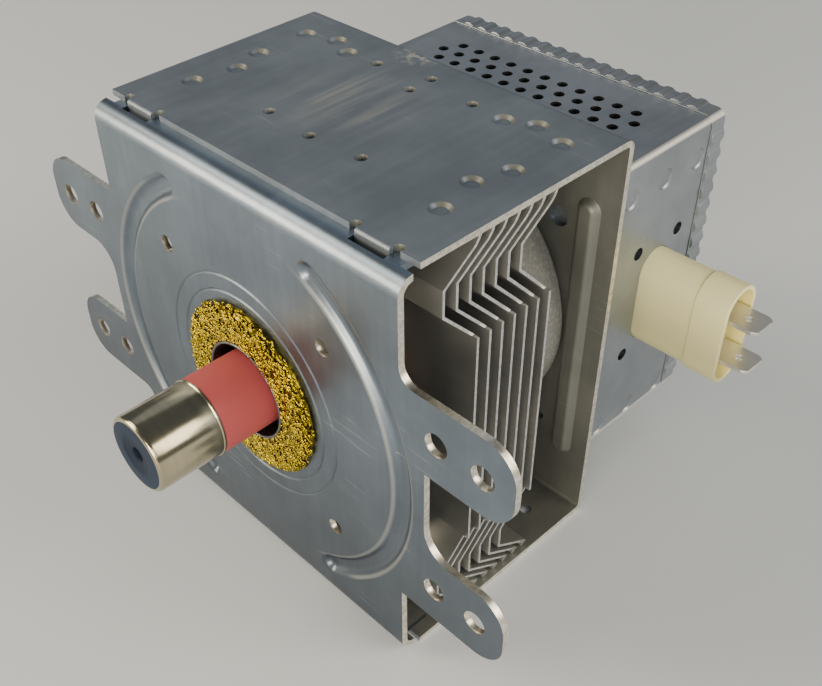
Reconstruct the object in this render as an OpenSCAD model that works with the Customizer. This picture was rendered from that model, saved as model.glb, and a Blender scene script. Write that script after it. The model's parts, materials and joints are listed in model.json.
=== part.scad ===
// Cooker magnetron: a steel yoke round a finned vacuum tube, with a filter box at the rear.
// X runs to the right, Y to the rear and Z up. The origin is on the tube's axis, at the front
// face of the mounting plate. The antenna points along -Y, and the part rests on its lower leg.

/* [Yoke] */
// Width of the yoke between its open sides
yoke_w = 75; // [72:0.5:78]
// Height over the two legs of the bracket
yoke_h = 85; // [82:0.5:90]
// Depth from the plate's front face to the back of the rear web
yoke_d = 52; // [50:0.5:56]
// Sheet thickness of the U-shaped bracket
bracket_t = 1.1; // [1:0.1:1.6]
// Outer bend radius of the bracket
bracket_bend = 1.8; // [1.7:0.1:3]
// Distance of the leg's front edge behind the plate's front face
leg_setback = 4.4; // [4:0.1:5]

/* [Front plate] */
// Sheet thickness of the mounting plate
plate_t = 1.2; // [1:0.1:1.8]
// Outer bend radius along the plate's upper and lower edges
plate_bend = 3; // [2.4:0.1:3.4]
// Distance that the bent edges reach to the rear
flange_reach = 8.5; // [6:0.1:9]
// Distance of the bent edges' ends inside the plate's sides
flange_inset = 2.5; // [1:0.1:3]
// Half width of the plate between its ears
waist_x = 42.7; // [41:0.1:44]
// Distance from an outer ear hole to the tip of its ear
ear_end = 6; // [5:0.1:8]
// Height of one ear
ear_h = 15; // [13:0.1:17]
// Radius of the ear's outer corners
ear_corner = 6; // [3:0.1:6.4]
// Radius of the large fillet beside one ear of each side
ear_fillet = 5.5; // [3:0.1:6]
// Radius of the fillet between an ear and the plate's edge
edge_fillet = 3; // [1:0.1:5]
// Vertical distance between the ear holes
ear_pitch_z = 33; // [30:0.1:34]
// Distance between the outer ear holes across the plate
ear_pitch_outer = 108; // [106:0.1:109]
// Distance between the two holes of an ear
ear_hole_step = 9; // [7:0.1:10]
// Diameter of the ear holes
ear_hole_d = 4.4; // [4:0.1:6]
// Distance of the four small holes from the axis, across and up
small_hole_xz = 20.6; // [20:0.1:24]
// Diameter of the four small holes
small_hole_d = 3.2; // [2:0.1:4]
// Mean radius of the two arc grooves
groove_r = 37.8; // [37:0.1:38.2]
// Width of the arc grooves at the front face
groove_w = 4.4; // [3:0.1:4.6]
// Depth of the arc grooves
groove_depth = 1.2; // [0.4:0.1:1.4]
// Half angle that each arc groove covers
groove_angle = 61; // [40:1:64]
// Radius of the inner pressed ring
ring_inner_r = 19; // [18.4:0.1:20]
// Radius of the outer pressed ring
ring_outer_r = 22.2; // [21.5:0.1:24]
// Depth of the pressed rings
ring_depth = 0.2; // [0.1:0.05:0.5]

/* [Staked tabs] */
// Distance of each tab from the middle of the leg
tab_x = 28.5; // [24:0.1:30]
// Width of each tab
tab_w = 7; // [5:0.1:8]
// Distance that a tab reaches in front of the leg's edge
tab_reach = 0.6; // [0.4:0.1:0.9]
// Distance that a tab goes down past the leg's inner face
tab_drop = 2.6; // [2:0.1:3.5]
// Open gap in front of a tab in its slot
slot_gap = 1.2; // [0.4:0.1:1.4]
// Radius of the round notch at each side of a tab
notch_r = 0.9; // [0.6:0.1:1.2]
// Distance of the notches' middles behind the leg's edge
notch_sink = 0.5; // [0:0.1:0.6]

/* [Leg marks] */
// Diameter of the large dimples in the legs
dimple_d = 3.8; // [2:0.1:4.4]
// Depth of the large dimples in the legs
dimple_depth = 0.6; // [0.2:0.1:0.8]
// Diameter of the small dimples in the legs
pit_d = 2.2; // [1:0.1:3]
// Depth of the small dimples in the legs
pit_depth = 0.9; // [0.2:0.1:0.9]
// Diameter of the drain hole at each side of the lower leg
drain_d = 2.4; // [2:0.1:4]

/* [Rear web] */
// Distance of the web's stiffening ribs from the middle
web_rib_x = 31.4; // [31.4:0.1:34]
// Length of the web's stiffening ribs
web_rib_len = 59; // [40:0.5:66]
// Width of the ribs at their foot
web_rib_w = 4.8; // [3:0.1:5]
// Height of the ribs over the web
web_rib_h = 1.3; // [0.5:0.1:1.5]
// Width that each side of a rib gives up to its slope
web_rib_draft = 1; // [0.2:0.1:1.2]
// Distance of the web's fixing holes from the axis, across
web_hole_x = 25.2; // [24:0.1:27]
// Distance of the web's fixing holes from the axis, up
web_hole_z = 23.4; // [22:0.1:26]
// Diameter of the web's upper fixing holes
web_hole_d = 4; // [2:0.1:4.4]
// Diameter of the web's lower fixing holes
web_pin_hole_d = 2.4; // [1:0.1:3]
// Diameter of the opening for the cathode stem
stem_hole_d = 19; // [16:0.1:20]

/* [Magnets] */
// Outer diameter of the ferrite rings
magnet_d = 58; // [52:0.5:58]
// Bore of the ferrite rings
magnet_bore = 21; // [20.9:0.1:23]
// Thickness of the ferrite rings
magnet_t = 8; // [7:0.1:8.5]
// Chamfer on the edges of the ferrite rings
magnet_chamfer = 0.6; // [0.2:0.1:1]

/* [Anode] */
// Outer diameter of the anode cylinder
anode_d = 40; // [38:0.1:41]
// Wall of the anode cylinder
anode_wall = 2.2; // [1.5:0.1:3]
// Number of vanes
vane_count = 10; // [8:2:12]
// Thickness of a vane
vane_t = 1.9; // [1.5:0.1:2]
// Length of a vane along the axis
vane_len = 9.5; // [8:0.1:10]
// Radius of the circle on which the vane tips lie
vane_tip_r = 4.55; // [4.4:0.05:5]
// Section of a strap ring
strap_w = 0.8; // [0.5:0.1:1]
// Inner radius of the smaller strap ring
strap_r = 6.6; // [6.4:0.1:6.8]
// Flange thickness of the pole pieces
pole_t = 2; // [1.5:0.1:2.5]
// Bore of the pole pieces
pole_bore = 9.6; // [9:0.1:10.5]
// Depth of the pole pieces' cone inside the anode
pole_dip = 5.2; // [4.5:0.1:5.5]
// Radius of the cone's flat tip
pole_tip_r = 9; // [8.5:0.1:9.5]
// Radius at which the cone leaves its flange
pole_root_r = 14.6; // [14:0.1:15.5]
// Amount by which the cone's hollow side lies inside its outer side
pole_hollow = 1; // [0.8:0.1:1.4]
// Sheet thickness of the seal cups
cup_t = 0.8; // [0.5:0.1:1]
// Distance from the cups' shoulder to the magnets' outer face
cup_shoulder = 3.4; // [3:0.1:4]

/* [Cooling fins] */
// Distance from one fin to the next
fin_pitch = 2.82; // [2.4:0.02:2.9]
// Sheet thickness of a fin
fin_t = 0.5; // [0.4:0.05:0.7]
// Shift of the stack of fins from the middle of the anode
fin_shift = -0.7; // [-1.5:0.1:0.5]
// Amount by which the folded ends are narrower, at each side
fold_inset = 1.1; // [0.5:0.1:2]
// Height of the first slanted stretch of a folded end
fold_rise = 6.8; // [5:0.1:7]
// Height of the straight stretch of a folded end
fold_flat = 4.8; // [3:0.1:5]
// Height of the second slanted stretch of a folded end
fold_return = 5.1; // [4:0.1:5.5]
// Height of the hook that bears on the leg
fold_hook = 2.1; // [1:0.1:2.5]
// Distance of the upper hook's corner behind the fin's flat part
hook_setback = 0.4; // [0:0.1:1]
// Amount by which the upper hook leans to the rear
hook_lean = 0.6; // [0:0.1:1]
// Distance by which the folds of a fin's lower end sit nearer to their leg
fold_shift = 1.2; // [0:0.1:1.3]
// Distance of the lower hook's corner behind the fin's flat part
lower_setback = 1.6; // [0.4:0.1:1.8]
// Amount by which the lower hook leans to the front
lower_lean = 1.2; // [0:0.1:1.4]
// Clearance of the foremost fold behind the magnet's face
fold_clear = 0.8; // [0.3:0.1:1]

/* [Antenna] */
// Diameter of the antenna cap
cap_d = 14.8; // [14:0.1:16]
// Wall of the antenna cap
cap_wall = 0.6; // [0.4:0.05:0.8]
// Distance of the cap's tip in front of the plate
cap_tip = 24.5; // [23:0.1:28]
// Distance of the cap's rear rim in front of the plate
cap_rim = 11.3; // [9:0.1:13]
// Radius of the cap's rounded front edge
cap_round = 0.9; // [0.9:0.1:2]
// Radius of the recess in the middle of the cap's end
cap_recess_r = 2; // [1.5:0.1:3.5]
// Depth of the recess in the cap's end
cap_recess = 1.4; // [0.5:0.1:2]
// Wall of the antenna ceramic
ceramic_wall = 2.3; // [1.8:0.1:2.6]
// Depth of the ceramic's seat behind the plate's front face
ceramic_seat = 3; // [2.5:0.1:3.4]
// Outer diameter of the mesh gasket
gasket_d = 34; // [30:0.1:36]
// Thickness of the mesh gasket
gasket_t = 2; // [1:0.1:3]
// Outer diameter of the collar inside the gasket
collar_d = 19.6; // [19:0.1:20]
// Wall of the collar inside the gasket
collar_wall = 0.6; // [0.4:0.05:0.8]
// Radius of the exhaust tube under the cap
tube_r = 3; // [2:0.1:4]
// Thickness of the disc that the exhaust tube stands on
tube_disc = 0.8; // [0.5:0.1:1]
// Half the thickness of the tube's pinched end
tube_flat = 0.9; // [0.5:0.1:1]
// Clearance of the tube's end under the cap
tube_gap = 1; // [0.5:0.1:2]
// Radius of the antenna lead
lead_r = 1.1; // [0.6:0.1:1.2]
// Clearance of the antenna lead in the front pole piece
lead_clear = 0.6; // [0.3:0.1:0.8]
// Length of the antenna lead in the exhaust tube
lead_pin = 3; // [2:0.1:4]

/* [Cathode] */
// Mean radius of the filament's turns
filament_r = 1.9; // [1.8:0.05:2.2]
// Radius of the filament's wire
filament_wire = 0.25; // [0.2:0.05:0.3]
// Number of turns of the filament
filament_turns = 8; // [6:1:9]
// Radius of the end hats
hat_r = 3.6; // [3:0.1:4]
// Thickness of the end hats
hat_t = 0.9; // [0.6:0.1:1.2]
// Radius of the two cathode leads
cathode_lead_r = 0.75; // [0.5:0.05:0.8]
// Distance of the side lead from the axis
side_lead_z = 2.6; // [2.5:0.1:3]
// Length of the stem's ceramic
stem_len = 8; // [6:0.1:10]
// Distance of the stem's ceramic behind the web
stem_set = 2; // [1:0.1:3]
// Length of the cathode leads behind the stem's ceramic
lead_tail = 4; // [3:0.1:5]

/* [Filter box] */
// Width and height of the filter box
box_w = 65; // [62:0.5:68]
// Depth of the filter box, to the inner face of its cover
box_d = 35.8; // [35:0.1:42]
// Distance of the box's middle below the axis
box_drop = 0.5; // [0:0.1:1]
// Sheet thickness of the box and its cover
box_t = 0.8; // [0.6:0.05:1]
// Radius of the box's folded edges
box_edge = 1.2; // [1.1:0.1:2]
// Distance of the perforations and the connector behind the web
port_y = 20.9; // [19:0.1:21.5]
// Diameter of the perforations
perf_d = 2.1; // [1:0.1:2.4]
// Distance between perforations along a row
perf_pitch = 4.3; // [3.6:0.1:4.6]
// Distance between the rows of perforations
perf_row = 3.6; // [3:0.1:4]
// Number of perforations in the middle row
perf_count = 12; // [4:1:12]
// Diameter of the dimples in the box's sides
side_dimple_d = 4.2; // [3:0.1:6]
// Depth of the dimples in the box's sides
side_dimple_depth = 0.35; // [0.1:0.05:0.4]
// Distance between the dimples in the box's sides
side_dimple_pitch = 10; // [8:0.1:11]
// Height of the upper row of dimples over the axis
side_dimple_top = 25.3; // [22:0.1:27]
// Distance of the lower row of dimples below the axis
side_dimple_low = 28.8; // [24:0.1:29]
// Width of the cover's rim along the box
rim_w = 4.2; // [3:0.1:5]
// Height of the rim over the box's sides
rim_stand = 0.2; // [0.1:0.05:0.4]
// Distance between the crimps on the cover's rim
crimp_pitch = 3.7; // [3:0.1:5]
// Radius of a crimp's rounded back
crimp_r = 2.2; // [1.6:0.1:3]
// Height of a crimp over the rim
crimp_rise = 0.45; // [0.2:0.05:0.5]

/* [Connector] */
// Distance of the connector's middle below the box's middle
port_drop = 0.4; // [0:0.1:1]
// Width of the shroud
shroud_w = 8.8; // [8.4:0.1:10]
// Height of the shroud
shroud_h = 20.8; // [19:0.1:22]
// Distance that the shroud stands out of the box
shroud_len = 19; // [17:0.1:21]
// Length of the wider collar at the shroud's mouth
mouth_len = 6.9; // [6:0.1:9]
// Amount by which the collar is wider, at each side
mouth_step = 0.4; // [0.2:0.1:0.8]
// Wall of the shroud at its mouth
shroud_wall = 0.9; // [0.8:0.05:1.2]
// Depth of the hollow in the shroud
shroud_depth = 12; // [9:0.1:13]
// Width of the rib between the terminals
divider_w = 2.4; // [1:0.1:3]
// Distance of the rib's top behind the mouth
divider_sink = 4.8; // [4.5:0.1:6]
// Distance between the two blade terminals
blade_pitch = 9; // [8.6:0.1:9.4]
// Width of a blade terminal
blade_w = 6.3; // [5:0.1:6.3]
// Thickness of a blade terminal
blade_t = 0.8; // [0.6:0.05:1]
// Distance that the blades stand out of the shroud
blade_out = 5.4; // [4:0.1:7]
// Diameter of the hole near a blade's tip
blade_hole_d = 1.6; // [1:0.1:2]
// Distance of that hole from the blade's tip
blade_hole_in = 3.4; // [2.5:0.1:5]
// Chamfer on the corners of a blade's tip
blade_chamfer = 0.7; // [0.4:0.1:1.2]
// Distance between the small wall holes, along the box
port_hole_y = 12.4; // [12:0.1:14]
// Distance between the small wall holes, up the box
port_hole_z = 24; // [23.5:0.1:26]
// Diameter of the small wall holes
port_hole_d = 2.6; // [1:0.1:3]

/* [Filter inside] */
// Distance of the chokes from the axis
choke_z = 14; // [13:0.1:16]
// Length of a choke's core
choke_len = 24; // [20:0.5:26]
// Radius of a choke's core
choke_core_r = 2.8; // [2:0.1:3]
// Radius of the choke's wire
choke_wire = 0.65; // [0.5:0.05:0.8]
// Number of turns of a choke
choke_turns = 10; // [6:1:11]
// Length of the wire's tail beside the stem's lead
choke_tail = 4; // [3:0.1:5]
// Depth of the capacitor's case inside the box
case_depth = 10; // [8:0.1:11]
// Amount by which the case is wider and higher than the shroud
case_over = 3; // [2:0.1:4]
// Amount by which the earth plate is wider than the shroud
earth_over_w = 10; // [6:0.1:12]
// Amount by which the earth plate is higher than the shroud
earth_over_h = 8; // [5:0.1:10]
// Corner radius of the earth plate
earth_corner = 2; // [0.5:0.1:3]
// Length of a terminal's stem behind the case
terminal_tail = 2; // [1.5:0.1:3]

/* [Hidden] */
$fn = 64;
// Sliver by which cuts run past the faces that they open
over = 0.5;
// Clearance of a pressed or brazed fit
fit = 0.05;
// Clearance of a piece that is slipped into a hole or bears on a face
slip = 0.1;

// Straight stretches in one turn of a wire
turn_steps = 12;
// A turn's stretches cut inside its corners by this share
turn_inside = cos(180 / turn_steps);

ear_tip_x = ear_pitch_outer / 2 + ear_end;
ear_pitch_inner = ear_pitch_outer - 2 * ear_hole_step;
leg_out = yoke_h / 2;
leg_in = leg_out - bracket_t;
web_in = yoke_d - bracket_t;
side_x = yoke_w / 2;

// The tube between the two magnets, from front to rear
cup_front = plate_t + magnet_t;
cup_rear = web_in - magnet_t;
anode_front = cup_front + cup_t + pole_t;
anode_rear = cup_rear - cup_t - pole_t;
anode_mid = (anode_front + anode_rear) / 2;
anode_r = anode_d / 2;
anode_in_r = anode_r - anode_wall;
vane_front = anode_mid - vane_len / 2;
vane_rear = anode_mid + vane_len / 2;

// The fins, from the outside in, so that each hook meets its leg
fin_count = 7;
fin_first = anode_mid + fin_shift - fin_pitch * (fin_count - 1) / 2;
fold_top = leg_in - slip;
fold_start = fold_top - fold_hook - fold_return - fold_flat - fold_rise;
fold_reach = fin_first - fin_t / 2 - cup_front - fold_clear;
fold_w = yoke_w - 2 * fold_inset;
fold_lap = 4 * fin_t;

// The antenna
cap_r = cap_d / 2;
ceramic_r = cap_r - slip;
ceramic_in_r = ceramic_r - ceramic_wall;
neck_wall = cup_t;
collar_r = collar_d / 2;
// The vane lead leaves its vane outside the strap rings
lead_gap = 0.4;
lead_x = strap_r + 3 * strap_w + lead_r + lead_gap;

// The cathode
hat_gap = 0.65;
front_hat_y = vane_front - hat_gap - hat_t;
rear_hat_y = vane_rear + hat_gap;
stem_front = yoke_d + stem_set;
stem_rear = stem_front + stem_len;
lead_end = stem_rear + lead_tail;

// The filter box
box_front = yoke_d;
box_rear = box_front + box_d;
box_x = box_w / 2;
port_mid = yoke_d + port_y;
shroud_end = box_x + shroud_len;
shroud_floor = shroud_end - shroud_depth;
shroud_back = box_x - box_t;
plate_back = shroud_back - box_t;
case_back = plate_back - case_depth;
terminal_back = case_back - terminal_tail;
port_z = -box_drop - port_drop;
// The box is narrower where the cover's rim goes round it
rim_out = box_x + rim_stand;
neck_w = 2 * (rim_out - box_t - fit);
neck_front = box_rear + box_t - rim_w - slip;

// Helpers that place flat and turned shapes

// A sheet drawn in X and Z, from y0 to the rear by its thickness
module sheet_xz(y0, t) {
    translate([0, y0 + t, 0]) rotate([90, 0, 0]) linear_extrude(t) children();
}

// A section drawn in Y and Z, drawn out along X and centred
module across_x(w) {
    translate([-w / 2, 0, 0]) rotate([90, 0, 90]) linear_extrude(w) children();
}

// A section drawn as radius and Y, turned about the axis
module turned() {
    rotate([-90, 0, 0]) rotate_extrude($fn = 96) children();
}

// A round bar along Y
module bar_y(r, y0, y1) {
    translate([0, y0, 0]) rotate([-90, 0, 0]) cylinder(r = r, h = y1 - y0);
}

// A flat tube or washer about the axis
module ring_y(r_out, r_in, y0, y1) {
    difference() {
        bar_y(r_out, y0, y1);
        bar_y(r_in, y0 - over, y1 + over);
    }
}

// A rectangle with rounded corners, centred
module rounded(w, h, r) {
    square([w - 2 * r, h], center = true);
    square([w, h - 2 * r], center = true);
    for (sx = [-1, 1], sz = [-1, 1]) {
        translate([sx * (w / 2 - r), sz * (h / 2 - r)]) circle(r);
    }
}

// A flat shape with straight sides and half-round ends, long in its second direction
module stadium(w, h) {
    square([w, h - w], center = true);
    for (s = [-1, 1]) translate([0, s * (h - w) / 2]) circle(w / 2);
}

// The corner piece that fills the inside of a right angle with a round
module fillet(r) {
    difference() {
        translate([-fit, -fit]) square(r + fit);
        translate([r, r]) circle(r);
    }
}

function unit(v) = v / norm(v);
function left_of(v) = [-v[1], v[0]];

// The point beside corner i of path p, at distance d, with mitred corners
function beside(p, i, d) =
    let (
        last = len(p) - 1,
        before = left_of(unit(i > 0 ? p[i] - p[i - 1] : p[1] - p[0])),
        after = left_of(unit(i < last ? p[i + 1] - p[i] : p[last] - p[last - 1]))
    )
    p[i] + d * (before + after) / (1 + before * after);

// The section of a folded sheet of thickness t along path p
module folded(p, t) {
    polygon(concat(
        [for (i = [0 : len(p) - 1]) beside(p, i, t / 2)],
        [for (i = [len(p) - 1 : -1 : 0]) beside(p, i, -t / 2)]));
}

// A round wire of radius r with n sides along path p, no stretch of which runs along lean
module wire(p, r, n, lean) {
    last = len(p) - 1;
    function along(i) = unit(p[min(i + 1, last)] - p[max(i - 1, 0)]);
    function ring(i) =
        let (t = along(i), u = unit(cross(t, lean)), v = cross(t, u))
        [for (k = [0 : n - 1]) p[i] + r * (cos(360 * k / n) * u + sin(360 * k / n) * v)];
    polyhedron(
        points = [for (i = [0 : last]) each ring(i)],
        faces = concat(
            [[for (k = [n - 1 : -1 : 0]) k]],
            [for (i = [0 : last - 1], k = [0 : n - 1])
                [i * n + k, i * n + (k + 1) % n, (i + 1) * n + (k + 1) % n, (i + 1) * n + k]],
            [[for (k = [0 : n - 1]) last * n + k]]));
}

// The mounting plate

// One ear, with its middle on the X axis
module ear() {
    root = side_x - 1;
    translate([root, -ear_h / 2]) square([ear_tip_x - ear_corner - root, ear_h]);
    translate([root, ear_corner - ear_h / 2]) square([ear_tip_x - root, ear_h - 2 * ear_corner]);
    for (s = [-1, 1]) translate([ear_tip_x - ear_corner, s * (ear_h / 2 - ear_corner)])
        circle(ear_corner);
}

// The ears of the right side, with the round corner that each has at its upper edge
module ear_pair() {
    for (s = [-1, 1]) translate([0, s * ear_pitch_z / 2]) ear();
    translate([side_x, (ear_pitch_z + ear_h) / 2]) fillet(edge_fillet);
    translate([waist_x, (ear_h - ear_pitch_z) / 2]) fillet(ear_fillet);
}

// The flat part of the plate. Half a turn brings it onto itself.
module plate_outline() {
    square([yoke_w, 2 * (leg_in - plate_bend)], center = true);
    square([2 * waist_x, ear_pitch_z], center = true);
    for (turn = [0, 180]) rotate(turn) ear_pair();
}

// The bent-over upper edge, as a section in Y and Z
module plate_edge() {
    translate([plate_bend, leg_in - plate_bend]) intersection() {
        difference() {
            circle(plate_bend);
            circle(plate_bend - plate_t);
        }
        translate([-plate_bend, 0]) square(plate_bend);
    }
}

// The flat part of that edge, which lies under the leg
module plate_flange() {
    translate([plate_bend - fit, leg_in - plate_t]) square([flange_reach - plate_bend + fit, plate_t]);
}

// One pressed arc between two depths, narrower by twice the draft at its rear
module arc_press(w, y0, y1, draft) {
    for (side = [0, 180]) rotate([0, side, 0]) {
        rotate([0, -groove_angle, 0]) rotate([-90, 0, 0])
            rotate_extrude(angle = 2 * groove_angle, $fn = 96) polygon([
                [groove_r - w / 2, y0],
                [groove_r + w / 2, y0],
                [groove_r + w / 2 - draft, y1],
                [groove_r - w / 2 + draft, y1]]);
        for (end = [-1, 1]) rotate([0, end * groove_angle, 0]) translate([groove_r, y0, 0])
            rotate([-90, 0, 0]) cylinder(r1 = w / 2, r2 = w / 2 - draft, h = y1 - y0);
    }
}

module ear_holes() {
    for (sx = [-1, 1], sz = [-1, 1], pitch = [ear_pitch_outer, ear_pitch_inner]) {
        translate([sx * pitch / 2, 0, sz * ear_pitch_z / 2])
            bar_y(ear_hole_d / 2, -over, plate_t + over);
    }
}

// The slots in the bent edges that take the staked tabs
module tab_slots() {
    tab_front = leg_setback - tab_reach;
    slot_depth = slot_gap + bracket_t + slip;
    for (sx = [-1, 1], sz = [-1, 1]) {
        translate([sx * tab_x - tab_w / 2 - slip, tab_front - slot_gap, sz * leg_in - plate_bend])
            cube([tab_w + 2 * slip, slot_depth, 2 * plate_bend]);
    }
}

module front_plate() {
    groove_draft = groove_depth;
    color("lightsteelblue") difference() {
        union() {
            sheet_xz(0, plate_t) plate_outline();
            for (flip = [0, 1]) mirror([0, 0, flip]) {
                across_x(yoke_w) plate_edge();
                across_x(yoke_w - 2 * flange_inset) plate_flange();
            }
            arc_press(groove_w, plate_t - fit, plate_t + groove_depth, groove_draft * 0.7);
        }
        arc_press(groove_w + 2 * fit, -fit, groove_depth, groove_draft + fit);
        turned() for (r = [ring_inner_r, ring_outer_r])
            polygon([[r - 2 * ring_depth, -fit], [r + 2 * ring_depth, -fit], [r, ring_depth]]);
        bar_y(collar_r + fit, -over, plate_t + over);
        for (sx = [-1, 1], sz = [-1, 1]) translate([sx * small_hole_xz, 0, sz * small_hole_xz])
            bar_y(small_hole_d / 2, -over, plate_t + over);
        ear_holes();
        tab_slots();
    }
}

// The U-shaped bracket

// Upper half of the bracket as a section in Y and Z
module bracket_half() {
    bend_in = bracket_bend - bracket_t;
    translate([leg_setback, leg_in]) square([yoke_d - bracket_bend - leg_setback, bracket_t]);
    translate([web_in, 0]) square([bracket_t, leg_out - bracket_bend]);
    translate([yoke_d - bracket_bend, leg_out - bracket_bend]) intersection() {
        difference() {
            circle(bracket_bend);
            circle(bend_in);
        }
        square(bracket_bend);
    }
}

// A staked tab as a section in Y and Z: it turns down from the leg's edge through its slot
module tab_section() {
    bottom = leg_in - tab_drop;
    translate([leg_setback - tab_reach, bottom]) square([bracket_t, leg_out - tab_reach - bottom]);
    translate([leg_setback, leg_out - tab_reach]) intersection() {
        circle(tab_reach);
        translate([-tab_reach, -fit]) square(tab_reach + fit);
    }
}

// The marks in a leg, as places in X and Y from the middle of the leg's front edge
function dimple_places() = concat(
    [[30, 11.6], [28.2, 20.1], [30.4, 26.8]],
    [[30.5, 38.2], [23.9, 40.1], [18.7, 37.9]]);
function pit_places() = concat(
    [[0, 12.7], [0, 35.1], [0, 40.5]],
    [for (s = [-1, 1]) [s * 11.2, 13.6]],
    [for (s = [-1, 1]) [s * 11.4, 38.4]]);

module leg_marks() {
    for (s = [-1, 1], p = dimple_places())
        translate([s * p[0], leg_setback + p[1], leg_out - dimple_depth])
            cylinder(r1 = dimple_d / 2 - dimple_depth, r2 = dimple_d / 2 + fit, h = dimple_depth + fit);
    for (p = pit_places()) translate([p[0], leg_setback + p[1], leg_out - pit_depth])
        cylinder(r = pit_d / 2, h = pit_depth + over);
}

// The round notches at the sides of the tabs
module tab_notches() {
    for (sx = [-1, 1], side = [-1, 1]) {
        translate([sx * tab_x + side * (tab_w / 2 + notch_r), leg_setback + notch_sink, leg_in - over])
            cylinder(r = notch_r, h = bracket_t + 2 * over);
    }
}

// A pressed rib of the web, flat on top and rounded at its ends, standing out to the front
module web_rib() {
    foot = web_rib_w / 2;
    top = foot - web_rib_draft;
    straight = web_rib_len / 2 - foot;
    translate([0, web_in, 0]) {
        translate([0, 0, -straight]) linear_extrude(2 * straight)
            polygon([
                [-foot, fit],
                [-foot, 0],
                [-top, -web_rib_h],
                [top, -web_rib_h],
                [foot, 0],
                [foot, fit]]);
        for (s = [-1, 1]) translate([0, 0, s * straight]) rotate([90, 0, 0]) {
            cylinder(r1 = foot, r2 = top, h = web_rib_h);
            translate([0, 0, -fit]) cylinder(r = foot, h = fit);
        }
    }
}

module yoke_bracket() {
    color("silver") difference() {
        union() {
            for (flip = [0, 1]) mirror([0, 0, flip]) {
                across_x(yoke_w) bracket_half();
                for (s = [-1, 1]) translate([s * tab_x, 0, 0]) across_x(tab_w) tab_section();
            }
            for (s = [-1, 1]) translate([s * web_rib_x, 0, 0]) web_rib();
        }
        for (flip = [0, 1]) mirror([0, 0, flip]) {
            leg_marks();
            tab_notches();
        }
        bar_y(stem_hole_d / 2, web_in - over, yoke_d + over);
        for (s = [-1, 1]) {
            translate([s * web_hole_x, 0, web_hole_z]) bar_y(web_hole_d / 2, web_in - over, yoke_d + over);
            translate([s * web_hole_x, 0, -web_hole_z])
                bar_y(web_pin_hole_d / 2, web_in - over, yoke_d + over);
            translate([s * dimple_places()[3][0], leg_setback + dimple_places()[3][1], -leg_out - over])
                cylinder(r = drain_d / 2, h = bracket_t + 2 * over);
        }
    }
}

// The magnets

module magnet(y0) {
    c = magnet_chamfer;
    color("dimgray") turned() polygon([
        [magnet_bore / 2, y0],
        [magnet_d / 2 - c, y0],
        [magnet_d / 2, y0 + c],
        [magnet_d / 2, y0 + magnet_t - c],
        [magnet_d / 2 - c, y0 + magnet_t],
        [magnet_bore / 2, y0 + magnet_t]]);
}

module front_magnet() magnet(plate_t);
module rear_magnet() magnet(cup_rear);

// The anode and its closures

module anode_cylinder() {
    color("peru") ring_y(anode_r, anode_in_r, anode_front, anode_rear);
}

// Notches in a vane's end: the strap ring that the vane carries lies on the floor, the other is clear
module vane_notches(even) {
    carried = strap_w + 0.2;
    clear = carried + 0.6;
    side = 0.3;
    middle = strap_r + 1.5 * strap_w;
    for (flip = [0, 1]) translate([0, anode_mid, 0]) mirror([0, flip, 0]) translate([0, -vane_len / 2, 0]) {
        translate([strap_r - side, -over, -vane_t])
            cube([middle - strap_r + side, over + (even ? carried : clear), 2 * vane_t]);
        translate([middle - fit, -over, -vane_t])
            cube([1.5 * strap_w + side + fit, over + (even ? clear : carried), 2 * vane_t]);
    }
}

module anode_vanes() {
    color("chocolate") intersection() {
        for (i = [0 : vane_count - 1]) rotate([0, i * 360 / vane_count, 0]) difference() {
            translate([vane_tip_r, vane_front, -vane_t / 2]) cube([anode_r - vane_tip_r, vane_len, vane_t]);
            vane_notches(i % 2 == 0);
        }
        bar_y(anode_in_r - fit / 5, vane_front - over, vane_rear + over);
    }
}

module strap_rings() {
    color("darkgoldenrod") for (r = [strap_r, strap_r + 2 * strap_w], flip = [0, 1])
        translate([0, anode_mid, 0]) mirror([0, flip, 0])
            ring_y(r + strap_w, r, 0.2 - vane_len / 2, 0.2 + strap_w - vane_len / 2);
}

// A pole piece: a flange on the anode's end and a cone that dips towards the vanes
module pole_piece(end, inward) {
    color("slategray") turned() polygon([
        [pole_bore / 2, end + inward * (pole_dip - pole_t)],
        [pole_tip_r - pole_hollow, end + inward * (pole_dip - pole_t)],
        [pole_root_r - pole_hollow, end - inward * pole_t],
        [anode_r, end - inward * pole_t],
        [anode_r, end],
        [pole_root_r, end],
        [pole_tip_r, end + inward * pole_dip],
        [pole_bore / 2, end + inward * pole_dip]]);
}

module front_pole_piece() {
    color("slategray") difference() {
        pole_piece(anode_front, 1);
        translate([lead_x, 0, 0]) bar_y(lead_r + lead_clear, anode_front - over, anode_mid);
    }
}

module rear_pole_piece() pole_piece(anode_rear, -1);

// A seal cup: a flange between magnet and pole piece, and a neck that ends in a ceramic's seat
module seal_cup(flange, outward, seat) {
    mouth = magnet_bore / 2 - 0.3;
    shoulder = flange + outward * (magnet_t - cup_shoulder);
    color("gray") turned() polygon([
        [anode_r, flange],
        [mouth, flange],
        [ceramic_r, shoulder],
        [ceramic_r, seat],
        [ceramic_r - neck_wall, seat],
        [ceramic_r - neck_wall, shoulder - outward * 0.2],
        [mouth - neck_wall, flange - outward * cup_t],
        [anode_r, flange - outward * cup_t]]);
}

module front_seal_cup() seal_cup(cup_front, -1, ceramic_seat);
module rear_seal_cup() seal_cup(cup_rear, 1, stem_front);

// The antenna

module antenna_ceramic() {
    color("salmon") ring_y(ceramic_r, ceramic_in_r, -cap_rim, ceramic_seat);
}

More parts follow.
